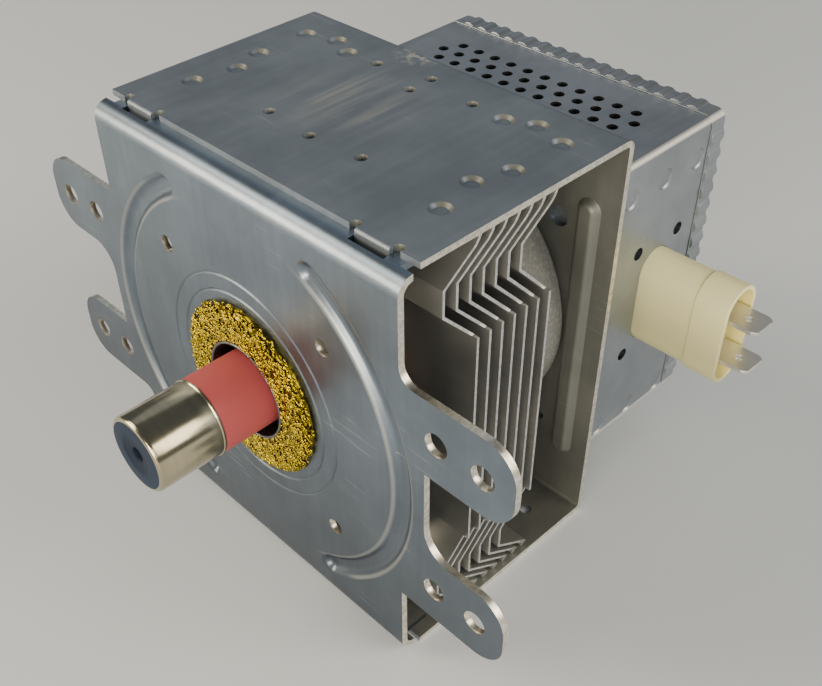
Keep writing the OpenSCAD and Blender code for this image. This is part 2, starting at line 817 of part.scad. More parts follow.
// The cap as a section in radius and Y: a round front edge and a dished recess in the end
module cap_section() {
    front = -cap_tip;
    floor_r = cap_recess_r * 0.6;
    floor_y = front + cap_recess;
    difference() {
        union() {
            translate([0, front]) square([cap_r - cap_round, cap_tip - cap_rim]);
            translate([0, front + cap_round]) square([cap_r, cap_tip - cap_round - cap_rim]);
            translate([cap_r - cap_round, front + cap_round]) circle(cap_round);
        }
        polygon([
            [0, front - over],
            [cap_recess_r, front - over],
            [cap_recess_r, front],
            [floor_r, floor_y],
            [0, floor_y]]);
        polygon([
            [0, floor_y + cap_wall],
            [floor_r + cap_wall / 2, floor_y + cap_wall],
            [cap_recess_r + cap_wall / 2, front + cap_wall],
            [cap_r - cap_wall, front + cap_wall],
            [cap_r - cap_wall, over - cap_rim],
            [0, over - cap_rim]]);
    }
}

module antenna_cap() {
    color("wheat") turned() cap_section();
}

// The copper tube under the cap: a disc on the ceramic and a stub whose end is pinched flat
module exhaust_tube() {
    length = cap_tip - cap_rim - cap_recess - cap_wall - tube_gap;
    pinch = -cap_rim - length / 2;
    end = -cap_rim - length;
    color("sienna") difference() {
        union() {
            bar_y(cap_r - cap_wall - slip, -cap_rim - tube_disc, -cap_rim);
            intersection() {
                bar_y(tube_r, end, -cap_rim - fit);
                across_x(4 * tube_r) polygon([
                    [-cap_rim, -2 * tube_r],
                    [-cap_rim, 2 * tube_r],
                    [pinch, 2 * tube_r],
                    [pinch, tube_r],
                    [end, tube_flat],
                    [end, -tube_flat],
                    [pinch, -tube_r],
                    [pinch, -2 * tube_r]]);
            }
        }
        bar_y(lead_r + fit, -cap_rim - length * 0.6, -cap_rim + over);
    }
}

// The lead runs back on the axis, then swings out to its vane past a knee inside the seal cup
module antenna_lead() {
    lead_knee = 0.44;
    path = [
        [0, -cap_rim - lead_pin, 0],
        [0, -cap_rim + 2 * lead_pin, 0],
        [lead_x * lead_knee, cup_front - lead_pin, 0],
        [lead_x, anode_front + lead_r, 0],
        [lead_x, vane_front, 0]];
    color("orangered") wire(path, lead_r, 16, [0, 0, 1]);
}

module rf_gasket() {
    inner = collar_r + fit;
    color("gold") turned() translate([(inner + gasket_d / 2) / 2, -gasket_t / 2])
        rounded(gasket_d / 2 - inner, gasket_t, gasket_t * 0.42);
}

module gasket_collar() {
    color("lightgray") {
        ring_y(collar_r, collar_r - collar_wall, 0.3 - gasket_t, plate_t);
        ring_y(collar_r + collar_wall, collar_r - collar_wall, plate_t, plate_t + collar_wall);
    }
}

// The cathode

module cathode_filament() {
    from = front_hat_y + hat_t + filament_wire;
    to = rear_hat_y - filament_wire;
    count = filament_turns * turn_steps;
    color("darkslategray") wire(
        [for (i = [0 : count]) let (a = 360 * i / turn_steps)
            [filament_r * cos(a), from + (to - from) * i / count, filament_r * sin(a)]],
        filament_wire, 6, [0, 1, 0]);
}

// An end hat: a disc and a hub that the filament's end turns sit on
module end_hat(disc, hub_end, bore) {
    hub_r = filament_r * turn_inside - filament_wire - fit;
    color("darkgray") difference() {
        union() {
            bar_y(hat_r, disc, disc + hat_t);
            bar_y(hub_r, min(disc, hub_end), max(disc + hat_t, hub_end));
        }
        bar_y(bore, min(disc, hub_end) - over, max(disc + hat_t, hub_end) + over);
    }
}

module front_end_hat() end_hat(front_hat_y, front_hat_y + hat_t + 1, cathode_lead_r + fit);
module rear_end_hat() end_hat(rear_hat_y, rear_hat_y - 1, cathode_lead_r + 2 * slip);

module centre_lead() {
    color("lightslategray") bar_y(cathode_lead_r, front_hat_y, lead_end);
}

module side_lead() {
    color("lightslategray") translate([0, 0, side_lead_z])
        bar_y(cathode_lead_r, rear_hat_y + hat_t, lead_end);
}

module stem_ceramic() {
    color("mistyrose") difference() {
        bar_y(ceramic_r, stem_front, stem_rear);
        for (z = [0, side_lead_z]) translate([0, 0, z])
            bar_y(cathode_lead_r + fit, stem_front - over, stem_rear + over);
    }
}

// The cooling fins

// Path of a folded end in Y and Z, from the flat part up to the leg
function fold_path(shift, setback, lean) =
    let (
        z0 = fold_start + shift,
        z1 = z0 + fold_rise,
        z2 = z1 + fold_flat,
        z3 = z2 + fold_return,
        hook = unit([lean, fold_top - z3])
    )
    [
        [0, z0 - fold_lap],
        [0, z0],
        [-fold_reach, z1],
        [-fold_reach, z2],
        [setback, z3],
        [setback + lean, fold_top - abs(hook[0]) * fin_t / 2]];

module cooling_fin(i) {
    bore = anode_r + fit;
    collar_len = fin_pitch - fin_t / 2 - slip;
    color("gainsboro") translate([0, fin_first + i * fin_pitch, 0]) difference() {
        union() {
            sheet_xz(-fin_t / 2, fin_t) translate([-side_x, -fold_start - fold_shift])
                square([yoke_w, 2 * fold_start + fold_shift]);
            across_x(fold_w) folded(fold_path(0, hook_setback, hook_lean), fin_t);
            mirror([0, 0, 1]) across_x(fold_w)
                folded(fold_path(fold_shift, lower_setback, -lower_lean), fin_t);
            bar_y(bore + fin_t, 0, collar_len);
        }
        bar_y(bore, -fin_t, collar_len + over);
    }
}

module cooling_fin_1() cooling_fin(0);
module cooling_fin_2() cooling_fin(1);
module cooling_fin_3() cooling_fin(2);
module cooling_fin_4() cooling_fin(3);
module cooling_fin_5() cooling_fin(4);
module cooling_fin_6() cooling_fin(5);
module cooling_fin_7() cooling_fin(6);

// The filter box

// The perforations of one side, as a pattern in X and Y
module perforations() {
    for (row = [-1, 0, 1]) {
        count = row == 0 ? perf_count : perf_count - 1;
        for (i = [0 : count - 1]) translate([(i - (count - 1) / 2) * perf_pitch, port_mid + row * perf_row])
            circle(perf_d / 2, $fn = 24);
    }
}

// The dimples in the right side of the box
module side_dimples() {
    for (step = [-1, 0, 1], z = [side_dimple_top, -side_dimple_low])
        translate([box_x - side_dimple_depth, port_mid - 1.2 + step * side_dimple_pitch, z])
            rotate([0, 90, 0]) cylinder(
                r1 = side_dimple_d / 2 - side_dimple_depth,
                r2 = side_dimple_d / 2 + fit,
                h = side_dimple_depth + fit);
}

// The opening for the connector and the small holes round it
module connector_port() {
    at_port(box_x - box_t - over, box_x + over) {
        stadium(shroud_w + 2 * slip, shroud_h + 2 * slip);
        for (sy = [-1, 1], sz = [-1, 1]) translate([sy * port_hole_y / 2, sz * port_hole_z / 2])
            circle(port_hole_d / 2, $fn = 24);
    }
}

module filter_box() {
    color("lightgray") difference() {
        translate([0, 0, -box_drop]) {
            sheet_xz(box_front, neck_front - box_front) rounded(box_w, box_w, box_edge);
            sheet_xz(neck_front - box_t, box_rear - neck_front + box_t) rounded(neck_w, neck_w, box_edge);
        }
        translate([0, 0, -box_drop]) {
            sheet_xz(box_front + box_t, neck_front - 2 * box_t - box_front)
                rounded(box_w - 2 * box_t, box_w - 2 * box_t, box_edge - box_t);
            sheet_xz(box_front + 2 * box_t, box_d)
                rounded(neck_w - 2 * box_t, neck_w - 2 * box_t, box_edge - box_t);
            for (s = [-1, 1]) translate([0, 0, s * (box_x - box_t / 2) - box_t])
                linear_extrude(2 * box_t) perforations();
            for (side = [0, 1]) mirror([side, 0, 0]) side_dimples();
        }
        bar_y(stem_hole_d / 2, box_front - over, box_front + box_t + over);
        connector_port();
    }
}

// The crimps along one side of the cover's rim
module crimps() {
    count = floor((box_w - 2 * crimp_pitch) / crimp_pitch) + 1;
    for (i = [0 : count - 1])
        translate([(i - (count - 1) / 2) * crimp_pitch, 0, rim_out + crimp_rise - crimp_r])
            bar_y(crimp_r, box_rear + box_t - rim_w + crimp_rise, box_rear + box_t);
}

module filter_cover() {
    inner = neck_w + 2 * fit;
    outer = 2 * rim_out;
    color("silver") translate([0, 0, -box_drop]) difference() {
        union() {
            sheet_xz(box_rear + box_t - rim_w, rim_w) rounded(outer, outer, box_edge + box_t);
            for (turn = [0 : 90 : 270]) rotate([0, turn, 0]) crimps();
        }
        sheet_xz(box_rear - rim_w - over, rim_w + over) rounded(inner, inner, box_edge + fit);
    }
}

// The connector and what stands behind it in the box

// A shape drawn in Y and Z about the connector's middle, drawn out along X
module at_port(x0, x1) {
    translate([x0, port_mid, port_z]) rotate([90, 0, 90]) linear_extrude(x1 - x0) children();
}

// The slots for the two terminals' stems
module stem_slots() {
    for (s = [-1, 1]) translate([0, s * blade_pitch / 2])
        square([blade_w / 2 + 2 * fit, blade_t + 2 * fit], center = true);
}

module connector_shroud() {
    mouth_w = shroud_w + 2 * mouth_step;
    mouth_h = shroud_h + 2 * mouth_step;
    hollow_w = mouth_w - 2 * shroud_wall;
    color("ivory") difference() {
        union() {
            at_port(shroud_back, shroud_end) stadium(shroud_w, shroud_h);
            at_port(shroud_end - mouth_len, shroud_end) stadium(mouth_w, mouth_h);
        }
        difference() {
            at_port(shroud_floor, shroud_end + over) stadium(hollow_w, mouth_h - 2 * shroud_wall);
            at_port(shroud_floor - over, shroud_end - divider_sink)
                square([mouth_w, divider_w], center = true);
        }
        at_port(shroud_back - over, shroud_end) stem_slots();
    }
}

module earth_plate() {
    color("silver") difference() {
        at_port(plate_back, shroud_back)
            rounded(shroud_w + earth_over_w, shroud_h + earth_over_h, earth_corner);
        at_port(plate_back - over, shroud_back + over) for (s = [-1, 1])
            translate([0, s * blade_pitch / 2]) circle(blade_w / 4 + 0.8);
    }
}

module capacitor_case() {
    color("saddlebrown") difference() {
        at_port(case_back, plate_back) stadium(shroud_w + case_over, shroud_h + case_over);
        at_port(case_back - over, plate_back + over) stem_slots();
    }
}

// A terminal: a blade with a chamfered tip and a cross hole, and a narrower stem through to the box
module terminal(z) {
    tip = shroud_end + blade_out;
    half = blade_w / 2;
    shoulder = tip - 1.6 * blade_chamfer;
    bottom = port_z + z - blade_t / 2;
    color("gainsboro") translate([0, port_mid, bottom]) linear_extrude(blade_t) difference() {
        union() {
            polygon([
                [shroud_floor, -half],
                [shoulder, -half],
                [tip, blade_chamfer - half],
                [tip, half - blade_chamfer],
                [shoulder, half],
                [shroud_floor, half]]);
            translate([terminal_back, -half / 2]) square([shroud_floor - terminal_back + fit, half]);
        }
        translate([tip - blade_hole_in, 0]) circle(blade_hole_d / 2, $fn = 24);
    }
}

module terminal_upper() terminal(blade_pitch / 2);
module terminal_lower() terminal(-blade_pitch / 2);

// The chokes lie along X, one above and one below the stem

choke_r = (choke_core_r + choke_wire + fit) / turn_inside;
choke_end = 1.5 * choke_wire;
choke_mid_x = terminal_back - choke_tail - choke_end - choke_len / 2;

// Wire of a choke: from the stem's lead, round the core and half a turn more, to the terminal's stem
function choke_path(side, lead_z) =
    let (
        count = (choke_turns + 0.5) * turn_steps,
        z0 = side * choke_z,
        x0 = choke_mid_x - choke_len / 2 + 2 * choke_wire,
        x1 = choke_mid_x + choke_len / 2 - 2 * choke_wire,
        joint_y = lead_end - choke_wire,
        joint_x = cathode_lead_r + choke_wire + fit,
        joint_z = port_z + side * (blade_pitch / 2 + blade_t / 2 + choke_wire + fit)
    )
    concat(
        [[-joint_x, joint_y, lead_z]],
        [[-joint_x - choke_tail, joint_y + choke_wire, lead_z + side * choke_tail]],
        [for (i = [0 : count]) let (a = 360 * i / turn_steps)
            [x0 + (x1 - x0) * i / count, port_mid - choke_r * cos(a), z0 + side * choke_r * sin(a)]],
        [
            [x1 + choke_end, port_mid + choke_r - choke_wire / 2, z0 - side * 4 * choke_wire],
            [terminal_back + choke_end, port_mid, joint_z]]);

module choke_coil(side, lead_z) {
    color("orange") wire(choke_path(side, lead_z), choke_wire, 8, [1, 0, 0]);
}

module choke_core(side) {
    color("darkslategray") translate([choke_mid_x - choke_len / 2, port_mid, side * choke_z])
        rotate([0, 90, 0]) cylinder(r = choke_core_r, h = choke_len);
}

module choke_coil_1() choke_coil(1, side_lead_z);
module choke_coil_2() choke_coil(-1, 0);
module choke_core_1() choke_core(1);
module choke_core_2() choke_core(-1);

front_plate();
yoke_bracket();
front_magnet();
rear_magnet();
anode_cylinder();
anode_vanes();
strap_rings();
front_pole_piece();
rear_pole_piece();
front_seal_cup();
rear_seal_cup();
antenna_ceramic();
antenna_cap();
exhaust_tube();
antenna_lead();
rf_gasket();
gasket_collar();
cathode_filament();
front_end_hat();
rear_end_hat();
centre_lead();
side_lead();
stem_ceramic();
cooling_fin_1();
cooling_fin_2();
cooling_fin_3();
cooling_fin_4();
cooling_fin_5();
cooling_fin_6();
cooling_fin_7();
filter_box();
filter_cover();
connector_shroud();
capacitor_case();
earth_plate();
terminal_upper();
terminal_lower();
choke_coil_1();
choke_coil_2();
choke_core_1();
choke_core_2();
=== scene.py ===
"""Dresses the solids of a cooker magnetron.

Gives them bevelled sheet metal, a knitted gasket, procedural finishes and a stage.
"""

import json
import math
import random

import bmesh
import bpy
from bpy.props import FloatProperty, FloatVectorProperty, IntProperty, PointerProperty
from mathutils import Matrix, Vector


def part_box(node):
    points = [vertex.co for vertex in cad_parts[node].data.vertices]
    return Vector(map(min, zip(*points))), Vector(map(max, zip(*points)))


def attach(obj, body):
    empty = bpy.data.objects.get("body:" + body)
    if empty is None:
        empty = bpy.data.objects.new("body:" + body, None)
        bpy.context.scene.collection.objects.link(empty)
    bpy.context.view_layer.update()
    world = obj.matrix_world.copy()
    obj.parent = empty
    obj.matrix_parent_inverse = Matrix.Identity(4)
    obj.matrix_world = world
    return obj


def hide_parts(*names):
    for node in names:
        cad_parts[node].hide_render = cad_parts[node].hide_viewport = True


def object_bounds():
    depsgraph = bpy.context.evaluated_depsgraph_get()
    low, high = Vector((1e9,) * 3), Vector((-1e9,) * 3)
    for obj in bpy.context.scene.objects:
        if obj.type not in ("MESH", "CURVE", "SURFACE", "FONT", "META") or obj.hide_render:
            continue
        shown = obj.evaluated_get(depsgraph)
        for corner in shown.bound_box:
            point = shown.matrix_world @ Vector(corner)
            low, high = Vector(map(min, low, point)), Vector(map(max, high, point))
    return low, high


bl_info = {
    "name": "Magnetron Dresser",
    "version": (1, 0, 0),
    "blender": (4, 5, 0),
    "location": "3D View > Sidebar > Magnetron",
    "description": "Gives the solids of a cooker magnetron their edges, finishes, gasket and stage",
    "category": "Object",
}

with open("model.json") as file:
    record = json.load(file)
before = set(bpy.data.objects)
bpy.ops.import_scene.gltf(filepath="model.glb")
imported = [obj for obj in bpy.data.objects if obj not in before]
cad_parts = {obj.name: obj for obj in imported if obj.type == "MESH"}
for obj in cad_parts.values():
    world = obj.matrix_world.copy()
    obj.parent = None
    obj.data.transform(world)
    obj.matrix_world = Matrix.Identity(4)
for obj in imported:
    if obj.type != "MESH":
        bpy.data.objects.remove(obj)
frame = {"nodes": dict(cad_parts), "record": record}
CAD_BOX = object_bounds()

BODY = "root"
MM = 0.001

# The photograph's frame in pixels, and the camera that was fitted to it:
# its place in millimetres, and its azimuth, height and roll in degrees
PHOTO_W = 822
PHOTO_H = 686
LENS_PX = 1060.26
CENTRE_PX = (372.02, 382.39)
CAMERA_AT = (119.68, -78.83, 123.46)
CAMERA_TURN = (48.097, 41.082, -2.138)
SENSOR_MM = 36.0
NEAREST = 5.0 * MM

# The surround, the floor's half width, and each light's place, aim, size, power and tint
SKY_TINT = (0.84, 0.92, 1.0)
SKY_POWER = 0.14
FLOOR_HALF = 3.0
LIGHTS = (
    ("left_high", (-0.52, -0.34, 0.62), (0.0, 0.02, 0.0), (0.40, 0.36), 3.0, (1.0, 0.90, 0.72)),
    ("left_low", (-0.64, -0.70, 0.26), (0.0, 0.0, 0.0), (0.40, 0.44), 7.5, (1.0, 0.86, 0.62)),
    ("front_low", (0.38, -0.90, 0.23), (0.0, 0.0, 0.0), (0.56, 0.38), 9.5, (1.0, 0.88, 0.68)),
    ("right_window", (0.84, 0.46, 0.56), (0.0, 0.04, 0.0), (0.70, 0.60), 8.0, (1.0, 0.91, 0.75)),
    ("right_fill", (0.80, -0.40, 0.42), (0.02, 0.03, 0.0), (0.40, 0.40), 2.2, (1.0, 0.98, 0.94)),
    ("rear_left", (-0.70, 0.62, 0.82), (0.0, 0.03, 0.0), (0.90, 0.90), 0.8, (0.84, 0.92, 1.0)),
)

FINS = [f"cooling_fin_{i}" for i in range(1, 8)]

# The arc grooves of the plate: mean radius, half angle, half width, depth and rounding
GROOVE_R = 37.8 * MM
GROOVE_ANGLE = math.radians(61.0)
GROOVE_HALF = 2.3 * MM
GROOVE_DEPTH = 1.2 * MM
GROOVE_ROUND = 0.7 * MM
# The plane of the tops of the web's ribs, and their rounding
RIB_TOP = 49.6 * MM
RIB_ROUND = 0.6 * MM
# Where the plating of the top leg is rubbed and wiped
SCUFF_AT = (-8.5 * MM, 51.0 * MM, 42.5 * MM)
WIPED_AT = (-5.0 * MM, 30.0 * MM, 42.5 * MM)
# A fin's fold: least area of the faces beside it, least length and least angle
FOLD_AREA = 45.0 * MM * MM
FOLD_LENGTH = 30 * MM
FOLD_ANGLE = 0.35
# Height of the ends of a fin that bear on the legs
HOOK_H = 3.2 * MM
# Sheet thickness of the gasket's collar, and the lap of its lip over the gasket
COLLAR_T = 0.6 * MM
COLLAR_LAP = 0.7 * MM
# The gasket's knit: random seed, sweep of a wire loop, and the shares of its height
STRAND_SEED = 7
LOOP_SWEEP = math.radians(100.0)
CROWN_TOP = 0.88
CROWN_DROP = 0.7
# Depth under a sheet's side within which a face is part of the cut edge
CUT_SKIN = 0.1 * MM
# How the solids are cleaned and shaded: gap to merge, flat join, sharp edge, smooth join
MERGE_GAP = 0.002 * MM
FLAT_JOIN = math.radians(0.6)
SHARP_EDGE = math.radians(30.0)
SMOOTH_JOIN = math.radians(40.0)


def length(name, description, value):
    """A length property with the usual settings."""
    return FloatProperty(name=name, description=description, default=value, unit="LENGTH")


def colour(name, description, value):
    """A colour property with the usual settings."""
    return FloatVectorProperty(
        name=name, description=description, default=value, subtype="COLOR", size=3, min=0.0, max=1.0
    )


class MagnetronSizes(bpy.types.PropertyGroup):
    """Sizes that the finish of the pieces depends on."""

    plate_edge: length("Plate Edge", "Broken edges of the mounting plate", 0.22 * MM)
    bracket_edge: length("Bracket Edge", "Broken edges of the bracket", 0.28 * MM)
    box_edge: length("Box Edge", "Broken edges of the filter box and its cover", 0.14 * MM)
    fin_edge: length("Fin Edge", "Rounding along the edges and folds of the fins", 0.12 * MM)
    mould_edge: length("Moulded Edge", "Rounding on the moulded plastic", 0.3 * MM)
    magnet_edge: length("Magnet Edge", "Broken edges of the ferrite rings", 0.3 * MM)
    blade_edge: length("Blade Edge", "Broken edges of the blade terminals", 0.12 * MM)
    strand_radius: length("Strand Radius", "Radius of the gasket's wire", 0.19 * MM)
    strand_bend: length("Strand Bend", "Radius of a loop of the gasket's wire", 0.62 * MM)
    strand_count: IntProperty(
        name="Gasket Strands",
        description="Number of wire loops that show on the gasket",
        default=1900,
        min=200,
    )
    turn_steps: IntProperty(
        name="Turning Steps",
        description="Number of facets round a turned piece",
        default=128,
        min=24,
    )


class MagnetronColours(bpy.types.PropertyGroup):
    """Colours of the finishes."""

    # The zinc colours are grey plated steel with a blue tint that is a painted reflection of a blue
    # surround.
    zinc: colour("Zinc", "Plated steel of the mounting plate", (0.198, 0.240, 0.296))
    bracket_zinc: colour("Bracket Zinc", "Plated steel of the bracket", (0.198, 0.230, 0.272))
    # The inside tone is a duller olive copy of the zinc: painted shade and warm reflection on the
    # inner faces.
    bracket_inside: colour("Bracket Inside", "Inner side of the bracket", (0.20, 0.207, 0.188))
    box_zinc: colour("Box Zinc", "Plated steel of the filter box", (0.325, 0.355, 0.395))
    cut: colour("Cut Steel", "Bare steel on the sheets' cut edges", (0.80, 0.76, 0.66))
    iron: colour("Iron", "Bare iron of the tube's closures", (0.42, 0.42, 0.43))
    ferrite: colour("Ferrite", "Sintered magnet", (0.32, 0.315, 0.285))
    ceramic: colour("Ceramic", "Pink alumina", (0.52, 0.09, 0.095))
    nickel: colour("Nickel", "Plated antenna cap", (0.50, 0.455, 0.335))
    # The dark cap end is a painted dark reflection on the plated end.
    cap_end: colour("Cap End", "Darkened end of the antenna cap", (0.014, 0.022, 0.04))
    brass: colour("Brass", "Knitted gasket wire", (0.52, 0.40, 0.02))
    aluminium: colour("Aluminium", "Rolled fin sheet", (0.62, 0.62, 0.60))
    fin_cut: colour("Fin Cut", "Cut edges of the fins", (0.74, 0.74, 0.73))
    plastic: colour("Plastic", "Moulded connector", (0.95, 0.885, 0.48))
    plastic_inside: colour("Plastic Inside", "Hollow of the connector", (0.92, 0.82, 0.32))
    tin: colour("Tin", "Plated blade terminals", (0.72, 0.71, 0.68))
    copper: colour("Copper", "Anode and leads", (0.25, 0.14, 0.10))
    resin: colour("Resin", "Capacitor case", (0.30, 0.15, 0.08))
    floor: colour("Floor", "Plain studio floor", (0.66, 0.70, 0.75))


class Tone:
    """A shader socket that can stand in sums. Each operator adds one Math node."""

    def __init__(self, finish, socket):
        self.finish = finish
        self.socket = socket

    def math(self, operation, first, second):
        """One Math node on two values."""
        return self.finish.node("ShaderNodeMath", {"operation": operation}, {0: first, 1: second})

    def __add__(self, other):
        return self.math("ADD", self, other)

    def __radd__(self, other):
        return self.math("ADD", other, self)

    def __sub__(self, other):
        return self.math("SUBTRACT", self, other)

    def __rsub__(self, other):
        return self.math("SUBTRACT", other, self)

    def __mul__(self, other):
        return self.math("MULTIPLY", self, other)

    def __rmul__(self, other):
        return self.math("MULTIPLY", other, self)

    def __abs__(self):
        return self.finish.node("ShaderNodeMath", {"operation": "ABSOLUTE"}, {0: self})


class Finish:
    """One material and the nodes that feed its surface."""

    def __init__(self, name):
        self.material = bpy.data.materials.new(name)
        self.material.use_nodes = True
        self.tree = self.material.node_tree
        self.surface = self.tree.nodes["Principled BSDF"]

    def feed(self, socket, value):
        """Links a tone to a socket, or sets a plain value."""
        if isinstance(value, Tone):
            self.tree.links.new(value.socket, socket)
        else:
            socket.default_value = value

    def node(self, kind, settings=None, sockets=None, out=0):
        """A node of that kind, with its settings made first and then its sockets."""
        made = self.tree.nodes.new(kind)
        for key, value in (settings or {}).items():
            setattr(made, key, value)
        for key, value in (sockets or {}).items():
            self.feed(made.inputs[key], value)
        return Tone(self, made.outputs[out])

    def place(self):
        """The point on the piece, in metres in the part's frame."""
        return self.node("ShaderNodeTexCoord", out="Object")

    def stretched(self, scale, turn=(0.0, 0.0, 0.0)):
        """The point on the piece, scaled and turned."""
        return self.node(
            "ShaderNodeMapping",
            {"vector_type": "POINT"},
            {"Vector": self.place(), "Rotation": turn, "Scale": scale},
        )

    def noise(self, scale, detail=2.0, rough=0.5, at=None):
        """Soft noise from 0 to 1, with scale in patches for each metre."""
        return self.node(
            "ShaderNodeTexNoise",
            {"noise_dimensions": "3D"},
            {"Vector": at or self.place(), "Scale": scale, "Detail": detail, "Roughness": rough},
        )

    def window(self, value, low, high):
        """0 below low, 1 above high, and a smooth rise between."""
        return self.node(
            "ShaderNodeMapRange",
            {"interpolation_type": "SMOOTHSTEP"},
            {"Value": value, "From Min": low, "From Max": high},
        )

    def axis(self, name):
        """One coordinate of the point on the piece."""
        return self.node("ShaderNodeSeparateXYZ", None, {"Vector": self.place()}, out=name)

    def spread(self):
        """The distance of the point on the piece from the tube's axis."""
        flat = self.stretched((1.0, 0.0, 1.0))
        return self.node("ShaderNodeVectorMath", {"operation": "LENGTH"}, {0: flat}, out=1)

    def near(self, point, inner, outer):
        """1 within a distance of a point, and 0 beyond a larger one."""
        sockets = {0: self.place(), 1: point}
        gap = self.node("ShaderNodeVectorMath", {"operation": "DISTANCE"}, sockets, out=1)
        return 1 - self.window(gap, inner, outer)

    def blend(self, factor, first, second):
        """A colour between two colours."""
        sockets = {0: factor, 6: full(first), 7: full(second)}
        return self.node("ShaderNodeMix", {"data_type": "RGBA"}, sockets, out=2)

    def tones(self, factor, base, dark, light):
        """A colour from a darker to a lighter share of a base colour."""
        return self.blend(factor, shaded(base, dark), shaded(base, light))

    def fade(self, surface, low, high, dim):
        """A colour that falls to a share of its tone from one height down to another: painted shade
        on the lower part.
        """
        height = self.window(self.axis("Z"), low, high)
        return self.blend((1 - height) * (1.0 - dim), surface, (0.0, 0.0, 0.0))

    def bump(self, height, strength, distance):
        """A normal that follows a height."""
        sockets = {"Height": height, "Strength": strength, "Distance": distance}
        return self.node("ShaderNodeBump", None, sockets)

    def set(self, **sockets):
        """Feeds the surface's sockets, named with underscores for spaces."""
        for key, value in sockets.items():
            self.feed(self.surface.inputs[key.replace("_", " ")], full(value))
        return self.material


def full(value):
    """A colour with its alpha, where three numbers are given."""
    if isinstance(value, Tone) or not hasattr(value, "__len__"):
        return value
    return (*value, 1.0) if len(value) == 3 else tuple(value)


def shaded(value, share):
    """A colour made darker or lighter by a share."""
    return tuple(min(1.0, part * share) for part in value)


def groove_lip_highlight(finish):
    """1 along the lips of the plate's grooves, short of the grooves' ends, where a highlight is
    painted.
    """
    gap = abs(finish.spread() - GROOVE_R)
    rise = finish.window(gap, 1.6 * MM, 2.1 * MM)
    fall = finish.window(gap, 2.2 * MM, 2.7 * MM)
    ends = finish.window(abs(finish.axis("Z")), 30.0 * MM, 33.5 * MM)
    return rise * (1 - fall) * (1 - ends)


def box_corner_highlight(finish, half_wide, half_high):
    """1 along the long corners of a box of that half width and half height, where a highlight is
    painted.
    """
    inner, outer = 1.1 * MM, 0.7 * MM
    across = finish.window(abs(finish.axis("X")), half_wide - inner, half_wide - outer)
    upright = finish.window(abs(finish.axis("Z")), half_high - inner, half_high - outer)
    return across * upright


def scuffed(finish, point):
    """1 in torn patches round a point."""
    torn = finish.noise(900.0, detail=4.0, rough=0.7)
    return finish.near(point, 2.0 * MM, 6.0 * MM) * finish.window(torn, 0.45, 0.6)


def streaked(finish, point):
    """Faint wiped streaks round a point."""
    along = finish.stretched((1.0, 0.07, 1.0), turn=(0.0, 0.0, 0.5))
    swept = finish.noise(420.0, detail=3.0, at=along)
    return finish.near(point, 3.0 * MM, 17.0 * MM) * finish.window(swept, 0.35, 0.75) * 0.6


def zinc_sheet(name, base, dull=0.0, dim=1.0, lips=0.0, corner=None, scuff=None, wiped=None):
    """Plated steel: soft clouds in the plating, a rolled grain and a fine tooth.

    A dull sheet is rougher and scatters more light. Dim is the tone of the lower edge against
    the upper one, a painted shade. Lips is how bright a painted highlight along the lips of the
    plate's grooves is, and corner gives half the width and height of a box whose long corners get
    a painted highlight. Where scuff gives a point, the plating is rubbed bright round it, and round
    wiped it is faintly streaked.
    """
    finish = Finish(name)
    cloud = finish.noise(55.0, detail=4.0, rough=0.6)
    rolled = finish.noise(700.0, detail=2.0, at=finish.stretched((1.0, 0.04, 0.04)))
    tooth = finish.noise(3400.0, detail=1.0)
    tone = cloud * 0.8 + rolled * 0.2
    surface = finish.tones(finish.window(tone, 0.3, 0.7), base, 0.82, 1.14)
    # Painted shade: the lower part is darkened by height.
    if dim < 1.0:
        surface = finish.fade(surface, -50.0 * MM, 45.0 * MM, dim)
    slanted = finish.stretched((0.06, 1.0, 1.0), turn=(0.0, 0.0, 0.7))
    lines = finish.noise(1500.0, detail=3.0, at=slanted)
    worn = finish.window(lines, 0.62, 0.74) * finish.window(cloud, 0.45, 0.65) * 0.4
    # A pale tone for worn plating, which also paints the highlights on the groove lips and box
    # corners.
    rubbed = shaded((1.0, 1.0, 0.96), sum(base) * 0.68)
    # Lips and corner add painted highlights to the wear mask; scuff and wiped are real wear.
    if lips:
        worn = worn + groove_lip_highlight(finish) * lips
    if corner:
        worn = worn + box_corner_highlight(finish, *corner)
    if scuff:
        worn = worn + scuffed(finish, scuff)
    if wiped:
        worn = worn + streaked(finish, wiped)
    return finish.set(
        Base_Color=finish.blend(worn, surface, rubbed),
        Metallic=1.0 - dull * 0.4,
        Roughness=0.25 + dull * 0.16 + cloud * 0.12 + tooth * 0.06 + worn * 0.1,
        Normal=finish.bump(tooth * 0.8 + rolled * 0.2, 0.12, 0.04 * MM),
    )


def sheared(name, base):
    """The cut edge of a sheet: bright bare steel, torn and uneven in gloss."""
    finish = Finish(name)
    tears = finish.noise(1400.0, detail=3.0, rough=0.65)
    worn = finish.noise(300.0, detail=3.0)
    surface = finish.tones(finish.window(tears, 0.35, 0.65), base, 0.8, 1.15)
    return finish.set(
        Base_Color=surface,
        Metallic=1.0,
        Roughness=0.26 + worn * 0.16,
        Normal=finish.bump(tears, 0.3, 0.08 * MM),
    )


def sintered(name, base):
    """Ferrite: a dull, grainy body with paler crumbs."""
    finish = Finish(name)
    crumb = finish.noise(1300.0, detail=4.0, rough=0.7)
    patch = finish.noise(120.0, detail=3.0)
    surface = finish.tones(finish.window(crumb, 0.45, 0.75), base, 0.85, 1.5)
    return finish.set(
        Base_Color=finish.blend(patch * 0.35, surface, shaded(base, 0.6)),
        Metallic=0.0,
        Roughness=0.62 + crumb * 0.2,
        Normal=finish.bump(crumb, 0.55, 0.25 * MM),
    )


